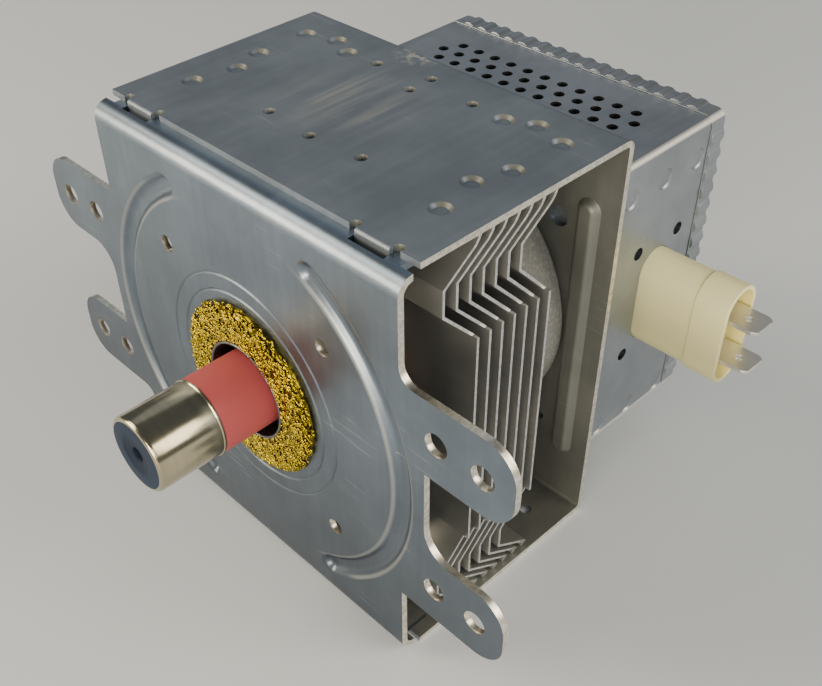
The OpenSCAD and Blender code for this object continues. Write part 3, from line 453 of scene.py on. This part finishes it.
def fired_ceramic(name, base):
    """Alumina: a fine bisque surface with faint speckle."""
    finish = Finish(name)
    speck = finish.noise(2600.0, detail=2.0)
    wash = finish.noise(160.0, detail=3.0)
    surface = finish.tones(wash, base, 0.9, 1.08)
    pale = finish.window(speck, 0.58, 0.72) * 0.35
    return finish.set(
        Base_Color=finish.blend(pale, surface, shaded(base, 1.25)),
        Metallic=0.0,
        Roughness=0.46 + speck * 0.12,
        Normal=finish.bump(speck, 0.1, 0.05 * MM),
    )


def drawn_nickel(name, base):
    """A deep-drawn plated cap: bands round the axis and a trace of yellowing."""
    finish = Finish(name)
    bands = finish.noise(260.0, detail=3.0, at=finish.stretched((0.02, 1.0, 0.02)))
    streak = finish.noise(420.0, detail=2.0, at=finish.stretched((1.0, 0.05, 1.0)))
    cloud = finish.noise(240.0, detail=3.0)
    surface = finish.tones(finish.window(bands, 0.35, 0.65), base, 0.8, 1.1)
    yellowed = (base[0], base[1] * 0.88, base[2] * 0.6)
    surface = finish.blend(cloud * 0.4, surface, yellowed)
    return finish.set(
        Base_Color=surface,
        Metallic=1.0,
        Roughness=0.1 + bands * 0.06 + streak * 0.06 + cloud * 0.04,
        Normal=finish.bump(bands * 0.6 + streak * 0.4, 0.06, 0.05 * MM),
    )


def painted_dark_end(name, base):
    """The dark end of the cap, paler towards the rim: a painted dark reflection on the plated end.
    """
    finish = Finish(name)
    cloud = finish.noise(400.0, detail=3.0)
    tone = finish.window(finish.spread(), 2.0 * MM, 6.0 * MM) * 0.6 + cloud * 0.4
    return finish.set(
        Base_Color=finish.tones(tone, base, 0.7, 1.5),
        Metallic=0.0,
        Roughness=0.34 + cloud * 0.14,
        Specular_IOR_Level=0.05,
    )


def brass_wire(name, base):
    """Bright knitted wire with patches of tarnish."""
    finish = Finish(name)
    tarnish = finish.noise(900.0, detail=3.0)
    surface = finish.tones(finish.window(tarnish, 0.35, 0.7), base, 0.6, 1.2)
    return finish.set(Base_Color=surface, Metallic=1.0, Roughness=0.15 + tarnish * 0.1)


def rolled_metal(name, base, rough, metal=1.0):
    """Thin rolled sheet or drawn bar, with a grain along X."""
    finish = Finish(name)
    lines = finish.noise(900.0, detail=2.0, at=finish.stretched((0.05, 1.0, 1.0)))
    cloud = finish.noise(130.0, detail=3.0)
    surface = finish.tones(lines * 0.5 + cloud * 0.5, base, 0.82, 1.12)
    return finish.set(
        Base_Color=surface,
        Metallic=metal,
        Roughness=rough + lines * 0.12 + cloud * 0.06,
    )


def moulded(name, base, dim=1.0):
    """Moulded plastic with a fine spark texture and faint flow marks.

    Dim is the tone of the lower side against the upper one: painted shade that leaves the top
    lighter.
    """
    finish = Finish(name)
    spark = finish.noise(2200.0, detail=2.0)
    flow = finish.noise(90.0, detail=3.0, at=finish.stretched((0.4, 1.0, 1.0)))
    surface = finish.tones(flow, base, 0.93, 1.05)
    if dim < 1.0:
        surface = finish.fade(surface, -7.0 * MM, 7.0 * MM, dim)
    return finish.set(
        Base_Color=surface,
        Metallic=0.0,
        Roughness=0.38 + spark * 0.12 + flow * 0.06,
        Normal=finish.bump(spark, 0.08, 0.04 * MM),
    )


def studio_floor(name, base):
    """A plain pale floor with hardly any tone."""
    finish = Finish(name)
    cloud = finish.noise(6.0, detail=2.0)
    surface = finish.tones(cloud, base, 0.985, 1.01)
    return finish.set(Base_Color=surface, Metallic=0.0, Roughness=0.6)


def settled(mesh_name, bm):
    """A mesh from a bmesh, which is then freed."""
    mesh = bpy.data.meshes.new(mesh_name)
    bm.to_mesh(mesh)
    bm.free()
    return mesh


def add_piece(name, mesh, material, slot, *nodes):
    """Puts a finished mesh in the scene as a piece that stands for some nodes."""
    piece = bpy.data.objects.new(name, mesh)
    bpy.context.scene.collection.objects.link(piece)
    mesh.materials.append(material)
    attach(piece, BODY)
    if nodes:
        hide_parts(*nodes)
    return piece


def smoothed(mesh):
    """Smooth faces, with sharp edges where the faces of a turned piece meet steeply."""
    mesh.shade_smooth()
    mesh.set_sharp_from_angle(angle=SMOOTH_JOIN)


def dressed(node, name, materials, slot, edge, segments=2, shape=None):
    """Puts in a copy of a node's solid, with flat faces joined and its edges broken.

    Shape works on the copy before its edges are broken.
    """
    bm = bmesh.new()
    bm.from_mesh(frame["nodes"][node].data)
    bmesh.ops.remove_doubles(bm, verts=bm.verts, dist=MERGE_GAP)
    bmesh.ops.dissolve_limit(bm, angle_limit=FLAT_JOIN, verts=bm.verts, edges=bm.edges)
    if shape:
        shape(bm)
    mesh = settled(name, bm)
    piece = add_piece(name, mesh, materials[0], slot, node)
    for material in materials[1:]:
        mesh.materials.append(material)
    mesh.shade_smooth()
    bevel = piece.modifiers.new("broken_edge", "BEVEL")
    bevel.affect = "EDGES"
    bevel.limit_method = "ANGLE"
    bevel.angle_limit = SHARP_EDGE
    bevel.width = edge
    bevel.segments = segments
    bevel.profile = 0.5
    bevel.material = -1
    bevel.use_clamp_overlap = True
    even = piece.modifiers.new("even_normals", "WEIGHTED_NORMAL")
    even.mode = "FACE_AREA"
    even.weight = 90


def rounded(bm, geom, width, segments, affect="EDGES"):
    """Rounds some edges of a solid, or some corners of a profile."""
    bmesh.ops.bevel(
        bm,
        geom=geom,
        affect=affect,
        offset=width,
        offset_type="OFFSET",
        segments=segments,
        profile=0.5,
        material=-1,
        clamp_overlap=True,
    )


def other_finish(bm, chosen, index=1):
    """Gives the faces that are chosen another of the piece's materials."""
    for face in bm.faces:
        if chosen(face.normal, face.calc_center_median()):
            face.material_index = index


def turned(name, profile, rounds, closed, steps):
    """A mesh spun about the tube's axis from points of radius and Y, some of them rounded."""
    bm = bmesh.new()
    points = [bm.verts.new((radius, y, 0.0)) for radius, y in profile]
    pairs = list(zip(points, points[1:]))
    if closed:
        pairs.append((points[-1], points[0]))
    for first, second in pairs:
        bm.edges.new((first, second))
    for index, radius in rounds.items():
        rounded(bm, [points[index]], radius, 5, affect="VERTICES")
    bmesh.ops.spin(
        bm,
        geom=bm.verts[:] + bm.edges[:],
        cent=(0.0, 0.0, 0.0),
        axis=(0.0, 1.0, 0.0),
        angle=math.tau,
        steps=steps,
        use_merge=True,
    )
    bmesh.ops.remove_doubles(bm, verts=bm.verts, dist=MERGE_GAP / 2)
    bmesh.ops.recalc_face_normals(bm, faces=bm.faces)
    return settled(name, bm)


class PlateOperator(bpy.types.Operator):
    """Dress the mounting plate"""

    bl_idname = "magnetron.plate"
    bl_label = "Mounting Plate"

    def execute(self, context):
        sizes = context.scene.magnetron_sizes
        colours = context.scene.magnetron_colours
        finishes = (
            # The plate's lower part gets painted shade and its groove lips get painted highlights.
            zinc_sheet("plate_zinc", colours.zinc, dim=0.5, lips=0.5),
            sheared("plate_cut", colours.cut),
            # The inner faces get a dull olive copy of the zinc as painted shade.
            zinc_sheet("plate_inside", colours.bracket_inside, dull=1.0),
        )
        edge = sizes.plate_edge
        dressed("front_plate", "mounting_plate", finishes, "plate_steel", edge, shape=self.shape)
        return {"FINISHED"}

    def shape(self, bm):
        """Picks out the inner faces and the cut edges, and rounds the pressed grooves."""
        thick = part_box("gasket_collar")[1].y - COLLAR_T
        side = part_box("yoke_bracket")[1].x - CUT_SKIN

        def inside(normal, at):
            folded = at.y > 2 * thick and normal.z * at.z < 0.0
            return normal.y > 0.5 or folded

        def cut(normal, at):
            punched = abs(normal.y) < 0.1 and 0.0 < at.y < thick
            return punched or (abs(normal.x) > 0.9 and abs(at.x) > side)

        other_finish(bm, inside, 2)
        other_finish(bm, cut)
        brow = [edge for edge in bm.edges if self.in_groove(edge, 0.0, GROOVE_HALF)]
        foot = [edge for edge in bm.edges if self.in_groove(edge, GROOVE_DEPTH, GROOVE_HALF / 2)]
        rounded(bm, brow + foot, GROOVE_ROUND, 5)

    def in_groove(self, edge, depth, half):
        """Whether an edge lies at a depth within half a width of a groove's middle line."""
        near = 0.03 * MM
        points = [v.co for v in edge.verts]
        return all(abs(at.y - depth) < near and self.off_groove(at) < half for at in points)

    def off_groove(self, point):
        """How far a point is from the middle line of the nearer groove, seen from the front."""
        angle = math.atan2(point.z, abs(point.x))
        angle = max(-GROOVE_ANGLE, min(GROOVE_ANGLE, angle))
        middle = Vector((math.cos(angle), math.sin(angle))) * GROOVE_R
        return (Vector((abs(point.x), point.z)) - middle).length


class BracketOperator(bpy.types.Operator):
    """Dress the U-shaped bracket"""

    bl_idname = "magnetron.bracket"
    bl_label = "Yoke Bracket"

    def execute(self, context):
        sizes = context.scene.magnetron_sizes
        colours = context.scene.magnetron_colours
        finishes = (
            zinc_sheet(
                "bracket_zinc",
                colours.bracket_zinc,
                dull=0.75,
                scuff=SCUFF_AT,
                wiped=WIPED_AT,
            ),
            sheared("bracket_cut", colours.cut),
            # The inner faces get a dull olive copy of the zinc as painted shade.
            zinc_sheet("bracket_inside", colours.bracket_inside, dull=1.0),
        )
        edge = sizes.bracket_edge
        dressed("yoke_bracket", "bracket", finishes, "bracket_steel", edge, shape=self.shape)
        return {"FINISHED"}

    def shape(self, bm):
        """Picks out the inner faces and the cut edges, and rounds the ribs of the web."""
        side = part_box("yoke_bracket")[1].x - CUT_SKIN
        tabs = 5.0 * MM

        def inside(normal, at):
            return at.y > tabs and (normal.y < -0.3 or normal.z * at.z < 0.0)

        other_finish(bm, inside, 2)
        other_finish(bm, lambda normal, at: abs(at.x) > side)
        rounded(bm, [edge for edge in bm.edges if self.is_crest(edge)], RIB_ROUND, 4)

    def is_crest(self, edge):
        """Whether an edge lies in the plane of the ribs' tops."""
        return all(abs(v.co.y - RIB_TOP) < 0.02 * MM for v in edge.verts)


class FinsOperator(bpy.types.Operator):
    """Dress the seven cooling fins"""

    bl_idname = "magnetron.fins"
    bl_label = "Cooling Fins"

    def execute(self, context):
        sizes = context.scene.magnetron_sizes
        colours = context.scene.magnetron_colours
        finishes = (
            rolled_metal("fin_sheet", colours.aluminium, rough=0.27, metal=0.88),
            sheared("fin_cut", colours.fin_cut),
        )
        for node in FINS:
            name = node.replace("cooling_fin", "fin")
            dressed(node, name, finishes, "fin_aluminium", sizes.fin_edge, shape=self.shape)
        return {"FINISHED"}

    def shape(self, bm):
        """Rounds the folds, the ones beside the legs more, and picks out the cut edges."""
        hook = max(v.co.z for v in bm.verts) - HOOK_H
        for width, segments, low, high in (
            (1.1 * MM, 4, hook, math.inf),
            (0.6 * MM, 4, -math.inf, -hook),
            (0.4 * MM, 3, -hook, hook),
        ):
            there = [edge for edge in bm.edges if low < edge.verts[0].co.z < high]
            rounded(bm, [edge for edge in there if self.is_fold(edge)], width, segments)
        bm.normal_update()
        other_finish(bm, lambda normal, at: abs(normal.x) > 0.9)

    def is_fold(self, edge):
        """Whether an edge is a fold that runs right across the fin, between two wide faces."""
        wide = all(face.calc_area() > FOLD_AREA for face in edge.link_faces)
        across = abs(edge.verts[0].co.x - edge.verts[1].co.x) > FOLD_LENGTH
        return len(edge.link_faces) == 2 and wide and across and edge.calc_face_angle() > FOLD_ANGLE


class MagnetsOperator(bpy.types.Operator):
    """Dress the two ferrite rings"""

    bl_idname = "magnetron.magnets"
    bl_label = "Magnets"

    def execute(self, context):
        edge = context.scene.magnetron_sizes.magnet_edge
        base = context.scene.magnetron_colours.ferrite
        # The front ring gets a much darker copy of the same ferrite: painted shade, as it sits in
        # shadow behind the plate.
        for node, share in (("front_magnet", 0.2), ("rear_magnet", 1.0)):
            ferrite = sintered(node + "_ferrite", shaded(base, share))
            dressed(node, node + "_ring", (ferrite,), "ferrite", edge)
        return {"FINISHED"}


class AntennaOperator(bpy.types.Operator):
    """Turn the antenna's cap and ceramic"""

    bl_idname = "magnetron.antenna"
    bl_label = "Antenna"

    def execute(self, context):
        sizes = context.scene.magnetron_sizes
        colours = context.scene.magnetron_colours
        self.cap(
            sizes.turn_steps,
            drawn_nickel("cap_nickel", colours.nickel),
            painted_dark_end("cap_painted_dark_end", colours.cap_end),
        )
        self.ceramic(sizes.turn_steps, fired_ceramic("antenna_alumina", colours.ceramic))
        return {"FINISHED"}

    def cap(self, steps, nickel, dark_end_finish):
        """The plated cap, with soft rims and a dished end."""
        low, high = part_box("antenna_cap")
        outer = high.x
        wall = 0.6 * MM
        tip = low.y
        deep = tip + 1.4 * MM
        body = outer - 0.16 * MM
        dark_end_radius = body - 0.75 * MM
        profile = [
            (0.0, deep),
            (1.1 * MM, deep),
            (1.4 * MM, tip + 0.3 * MM),
            (3.4 * MM, tip + 0.16 * MM),
            (3.9 * MM, tip),
            (body, tip),
            (body, high.y - 0.5 * MM),
            (outer, high.y - 0.35 * MM),
            (outer, high.y),
            (outer - wall, high.y),
            (outer - wall, deep + wall),
            (0.0, deep + wall),
        ]
        rim = 0.12 * MM
        rounds = {2: 0.25 * MM, 3: 0.3 * MM, 4: 0.3 * MM, 5: 0.8 * MM, 8: rim, 9: rim}
        mesh = turned("cap", profile, rounds, False, steps)
        add_piece("cap", mesh, nickel, "nickel", "antenna_cap")
        mesh.materials.append(dark_end_finish)
        # Faces within this radius get the painted dark reflection of the end.
        for face in mesh.polygons:
            if Vector((face.center.x, face.center.z)).length < dark_end_radius:
                face.material_index = 1
        smoothed(mesh)

    def ceramic(self, steps, alumina):
        """The pink tube, with slightly rounded ends."""
        low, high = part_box("antenna_ceramic")
        outer = high.x
        bore = outer - 2.3 * MM
        profile = [(bore, low.y), (outer, low.y), (outer, high.y), (bore, high.y)]
        rounds = {1: 0.3 * MM, 2: 0.5 * MM}
        mesh = turned("ceramic", profile, rounds, True, steps)
        add_piece("ceramic", mesh, alumina, "alumina", "antenna_ceramic")
        smoothed(mesh)


class GasketOperator(bpy.types.Operator):
    """Knit the gasket and turn its collar"""

    bl_idname = "magnetron.gasket"
    bl_label = "Mesh Gasket"

    def execute(self, context):
        sizes = context.scene.magnetron_sizes
        colours = context.scene.magnetron_colours
        low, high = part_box("rf_gasket")
        self.outer = high.x
        self.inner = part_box("gasket_collar")[1].x - COLLAR_LAP
        self.front = low.y
        brass = brass_wire("gasket_brass", colours.brass)
        # The core shows in the gaps between the loops; its darker copy of the brass is painted
        # shade.
        core_shade_brass = brass_wire("gasket_core_brass", shaded(colours.brass, 0.45))
        steel = rolled_metal("collar_steel", shaded(colours.iron, 0.4), rough=0.3)
        self.core(sizes.turn_steps, core_shade_brass)
        self.strands(sizes, brass)
        self.collar(sizes.turn_steps, steel)
        return {"FINISHED"}

    def crown(self, share):
        """How far the gasket stands out of the plate, from its inner edge, 0, to its outer, 1."""
        return -self.front * (CROWN_TOP - CROWN_DROP * max(0.0, 2.0 * share - 1.0) ** 4.0)

    def core(self, steps, brass):
        """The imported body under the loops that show."""
        count = 12
        sink = 0.35 * MM
        shrink = 0.4 * MM
        width = self.outer - self.inner - 2.0 * shrink
        profile = [(self.outer - shrink, 0.0), (self.inner + shrink, 0.0)]
        for index in range(count + 1):
            share = index / count
            profile.append((self.inner + shrink + width * share, sink - self.crown(share)))
        mesh = turned("gasket_core", profile, {}, True, steps)
        add_piece("gasket_core", mesh, brass, "brass_mesh", "rf_gasket")
        smoothed(mesh)

    def loop(self, radius, bend):
        """One short bent wire that stands up from the X and Z plane."""
        bm = bmesh.new()
        ring = bmesh.ops.create_circle(bm, segments=5, radius=radius, cap_ends=True)["verts"]
        bmesh.ops.translate(bm, verts=ring, vec=(bend, 0.0, 0.0))
        bmesh.ops.spin(
            bm,
            geom=bm.verts[:] + bm.edges[:] + bm.faces[:],
            cent=(0.0, 0.0, 0.0),
            axis=(0.0, 1.0, 0.0),
            angle=LOOP_SWEEP,
            steps=4,
        )
        level = Matrix.Rotation(-LOOP_SWEEP / 2, 3, "Y")
        bmesh.ops.rotate(bm, verts=bm.verts, cent=(0.0, 0.0, 0.0), matrix=level)
        bmesh.ops.translate(bm, verts=bm.verts, vec=(-bend, 0.0, 0.0))
        bmesh.ops.recalc_face_normals(bm, faces=bm.faces)
        return settled("strand", bm)

    def strands(self, sizes, brass):
        """Loops of wire that lie every way on the crowned ring."""
        draw = random.Random(STRAND_SEED)
        strand = self.loop(sizes.strand_radius, sizes.strand_bend)
        bm = bmesh.new()
        margin = 0.1 * MM
        sink = sizes.strand_radius * 1.2
        low, high = self.inner + margin, self.outer - margin
        for _ in range(sizes.strand_count):
            radius = math.sqrt(draw.uniform(low**2, high**2))
            share = (radius - self.inner) / (self.outer - self.inner)
            turn = Matrix.Rotation(draw.uniform(0.0, math.tau), 4, "Y")
            out = Matrix.Translation((radius, -self.crown(share) + sink, 0.0))
            lie = Matrix.Rotation(draw.uniform(0.0, math.tau), 4, "Y")
            tip = Matrix.Rotation(draw.uniform(-0.45, 0.45), 4, "Z")
            grow = Matrix.Scale(draw.uniform(0.8, 1.15), 4)
            placed = turn @ out @ lie @ tip @ grow
            strand.transform(placed)
            bm.from_mesh(strand)
            strand.transform(placed.inverted())
        mesh = settled("gasket_strands", bm)
        bpy.data.meshes.remove(strand)
        add_piece("gasket_strands", mesh, brass, "brass_mesh")
        mesh.shade_smooth()

    def collar(self, steps, steel):
        """The thin ring at the gasket's inner edge."""
        low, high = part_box("gasket_collar")
        lip = high.x
        outer = lip - COLLAR_T
        bore = outer - COLLAR_T
        step = high.y - COLLAR_T
        profile = [
            (bore, low.y),
            (outer, low.y),
            (outer, step),
            (lip, step),
            (lip, high.y),
            (bore, high.y),
        ]
        rounds = {0: 0.28 * MM, 1: 0.28 * MM, 5: 0.2 * MM}
        mesh = turned("collar", profile, rounds, True, steps)
        add_piece("collar", mesh, steel, "soft_iron", "gasket_collar")
        smoothed(mesh)


class FilterBoxOperator(bpy.types.Operator):
    """Dress the filter box and its crimped cover"""

    bl_idname = "magnetron.filter_box"
    bl_label = "Filter Box"

    def execute(self, context):
        sizes = context.scene.magnetron_sizes
        base = context.scene.magnetron_colours.box_zinc
        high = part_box("filter_box")[1]
        finishes = (
            # corner paints a highlight along the box's long corners.
            zinc_sheet("box_zinc", base, dull=0.4, corner=(high.x, high.z)),
            # A nearly black copy of the zinc paints shade inside the box and its holes.
            zinc_sheet("box_inside", shaded(base, 0.1), dull=1.0),
        )
        edge = sizes.box_edge
        dressed("filter_box", "box_shell", finishes, "box_steel", edge, shape=self.shape)
        dressed("filter_cover", "box_cover", finishes[:1], "box_steel", 2.0 * edge, segments=3)
        return {"FINISHED"}

    def shape(self, bm):
        """Picks out the faces inside the box and its holes, which are in the dark and get a darker
        copy of the zinc as painted shade.
        """
        low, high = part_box("filter_box")
        middle = (low + high) / 2
        half = (high - low) / 2

        def inside(normal, at):
            off = at - middle
            depth, out = min(
                (half.x - abs(off.x), normal.x * math.copysign(1.0, off.x)),
                (half.z - abs(off.z), normal.z * math.copysign(1.0, off.z)),
                (at.y - low.y, -normal.y),
            )
            return depth > 0.05 * MM and out < 0.3

        other_finish(bm, inside)


class ConnectorOperator(bpy.types.Operator):
    """Dress the plug shroud and its two blades"""

    bl_idname = "magnetron.connector"
    bl_label = "Connector"

    def execute(self, context):
        sizes = context.scene.magnetron_sizes
        colours = context.scene.magnetron_colours
        finishes = (
            # dim paints shade on the lower side of the shroud, leaving its top lighter.
            moulded("shroud_ivory", colours.plastic, dim=0.62),
            moulded("shroud_inside", colours.plastic_inside),
        )
        dressed(
            "connector_shroud",
            "plug_shroud",
            finishes,
            "ivory_plastic",
            sizes.mould_edge,
            segments=3,
            shape=self.shape,
        )
        tin = rolled_metal("blade_tin", colours.tin, rough=0.28, metal=0.8)
        for node in ("terminal_upper", "terminal_lower"):
            name = node.replace("terminal", "blade")
            dressed(node, name, (tin,), "tinned_blade", sizes.blade_edge)
        return {"FINISHED"}

    def shape(self, bm):
        """Picks out the faces inside the shroud's hollow, which are yellower."""
        low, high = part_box("connector_shroud")
        middle = (low + high) / 2
        wall = 0.8 * MM
        half = (high - low) / 2 - Vector((0.0, wall, wall))
        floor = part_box("filter_box")[1].x + 1.0 * MM
        mouth = high.x - 0.1 * MM

        def inside(normal, at):
            off = at - middle
            deep = floor < at.x < mouth
            inward = off.y * normal.y + off.z * normal.z < 0.0 or normal.x > 0.9
            return deep and inward and abs(off.y) < half.y and abs(off.z) < half.z

        other_finish(bm, inside)


class InsideOperator(bpy.types.Operator):
    """Finish the pieces inside the tube and the filter"""

    bl_idname = "magnetron.inside"
    bl_label = "Inner Pieces"

    def execute(self, context):
        colours = context.scene.magnetron_colours
        finishes = {
            "copper": rolled_metal("anode_copper", colours.copper, rough=0.28),
            "soft_iron": rolled_metal("closure_iron", colours.iron, rough=0.34),
            "alumina": fired_ceramic("stem_alumina", colours.ceramic),
            "cathode_metal": rolled_metal("cathode_grey", shaded(colours.iron, 0.8), rough=0.4),
            "choke_wire": rolled_metal("enamelled_copper", shaded(colours.copper, 0.8), rough=0.2),
            "choke_ferrite": sintered("choke_ferrite_body", shaded(colours.ferrite, 0.6)),
            "resin": moulded("case_resin", colours.resin),
            "box_steel": zinc_sheet("earth_zinc", colours.box_zinc),
        }
        slots = {part["node"]: part["material_slot"] for part in frame["record"]["subparts"]}
        for node, obj in frame["nodes"].items():
            if not obj.hide_render:
                obj.data.materials.clear()
                obj.data.materials.append(finishes[slots[node]])
        return {"FINISHED"}


class StageOperator(bpy.types.Operator):
    """Set the floor, the soft lights and the camera"""

    bl_idname = "magnetron.stage"
    bl_label = "Stage"

    def execute(self, context):
        self.floor(context)
        self.sky(context)
        self.lights(context)
        self.camera(context)
        return {"FINISHED"}

    def floor(self, context):
        """A wide pale floor under the lower leg."""
        bm = bmesh.new()
        bmesh.ops.create_grid(bm, x_segments=4, y_segments=4, size=FLOOR_HALF)
        bmesh.ops.translate(bm, verts=bm.verts, vec=(0.0, 0.0, CAD_BOX[0][2]))
        floor = bpy.data.objects.new("floor", settled("floor", bm))
        pale = studio_floor("floor_pale", context.scene.magnetron_colours.floor)
        floor.data.materials.append(pale)
        context.scene.collection.objects.link(floor)

    def sky(self, context):
        """An even, slightly cool surround."""
        world = bpy.data.worlds.new("studio")
        world.use_nodes = True
        backdrop = world.node_tree.nodes["Background"]
        backdrop.inputs["Color"].default_value = full(SKY_TINT)
        backdrop.inputs["Strength"].default_value = SKY_POWER
        context.scene.world = world

    def lights(self, context):
        """A high light at the left, two low warm ones in front, a window and two weak fills."""
        for name, place, aim, (wide, tall), power, tint in LIGHTS:
            lamp = bpy.data.lights.new(name, "AREA")
            lamp.shape = "RECTANGLE"
            lamp.size = wide
            lamp.size_y = tall
            lamp.energy = power
            lamp.color = tint
            holder = bpy.data.objects.new(name, lamp)
            holder.location = place
            beam = Vector(aim) - Vector(place)
            holder.rotation_euler = beam.to_track_quat("-Z", "Y").to_euler()
            context.scene.collection.objects.link(holder)

    def camera(self, context):
        """The camera that was fitted to the photograph."""
        azimuth, height, roll = (math.radians(angle) for angle in CAMERA_TURN)
        back = Vector(
            (
                math.sin(azimuth) * math.cos(height),
                -math.cos(azimuth) * math.cos(height),
                math.sin(height),
            )
        )
        right = Vector((0.0, 0.0, 1.0)).cross(back).normalized()
        turn = Matrix((right, back.cross(right), back)).transposed()
        turn = turn @ Matrix.Rotation(roll, 3, "Z")
        lens = bpy.data.cameras.new("photo_camera")
        lens.sensor_fit = "HORIZONTAL"
        lens.sensor_width = SENSOR_MM
        lens.lens = LENS_PX * SENSOR_MM / PHOTO_W
        lens.shift_x = (PHOTO_W / 2 - CENTRE_PX[0]) / PHOTO_W
        lens.shift_y = (CENTRE_PX[1] - PHOTO_H / 2) / PHOTO_W
        lens.clip_start = NEAREST
        holder = bpy.data.objects.new("photo_camera", lens)
        holder.matrix_world = Matrix.Translation(Vector(CAMERA_AT) * MM) @ turn.to_4x4()
        context.scene.collection.objects.link(holder)
        context.scene.camera = holder


PIECES = (
    PlateOperator,
    BracketOperator,
    FinsOperator,
    MagnetsOperator,
    AntennaOperator,
    GasketOperator,
    FilterBoxOperator,
    ConnectorOperator,
    InsideOperator,
    StageOperator,
)


class MagnetronPanel(bpy.types.Panel):
    """Lists the steps that dress the magnetron"""

    bl_idname = "VIEW3D_PT_magnetron"
    bl_label = "Magnetron"
    bl_space_type = "VIEW_3D"
    bl_region_type = "UI"
    bl_category = "Magnetron"

    def draw(self, context):
        for piece in PIECES:
            self.layout.operator(piece.bl_idname)


CLASSES = (MagnetronSizes, MagnetronColours, *PIECES, MagnetronPanel)


def register():
    """Registers the classes and hangs the settings on the scene."""
    for cls in CLASSES:
        bpy.utils.register_class(cls)
    bpy.types.Scene.magnetron_sizes = PointerProperty(type=MagnetronSizes)
    bpy.types.Scene.magnetron_colours = PointerProperty(type=MagnetronColours)


def unregister():
    """Takes the settings and the classes away again."""
    del bpy.types.Scene.magnetron_colours
    del bpy.types.Scene.magnetron_sizes
    for cls in reversed(CLASSES):
        bpy.utils.unregister_class(cls)


def main():
    """Dresses every piece in order."""
    register()
    for piece in PIECES:
        group, name = piece.bl_idname.split(".")
        getattr(getattr(bpy.ops, group), name)()


if __name__ == "__main__":
    main()
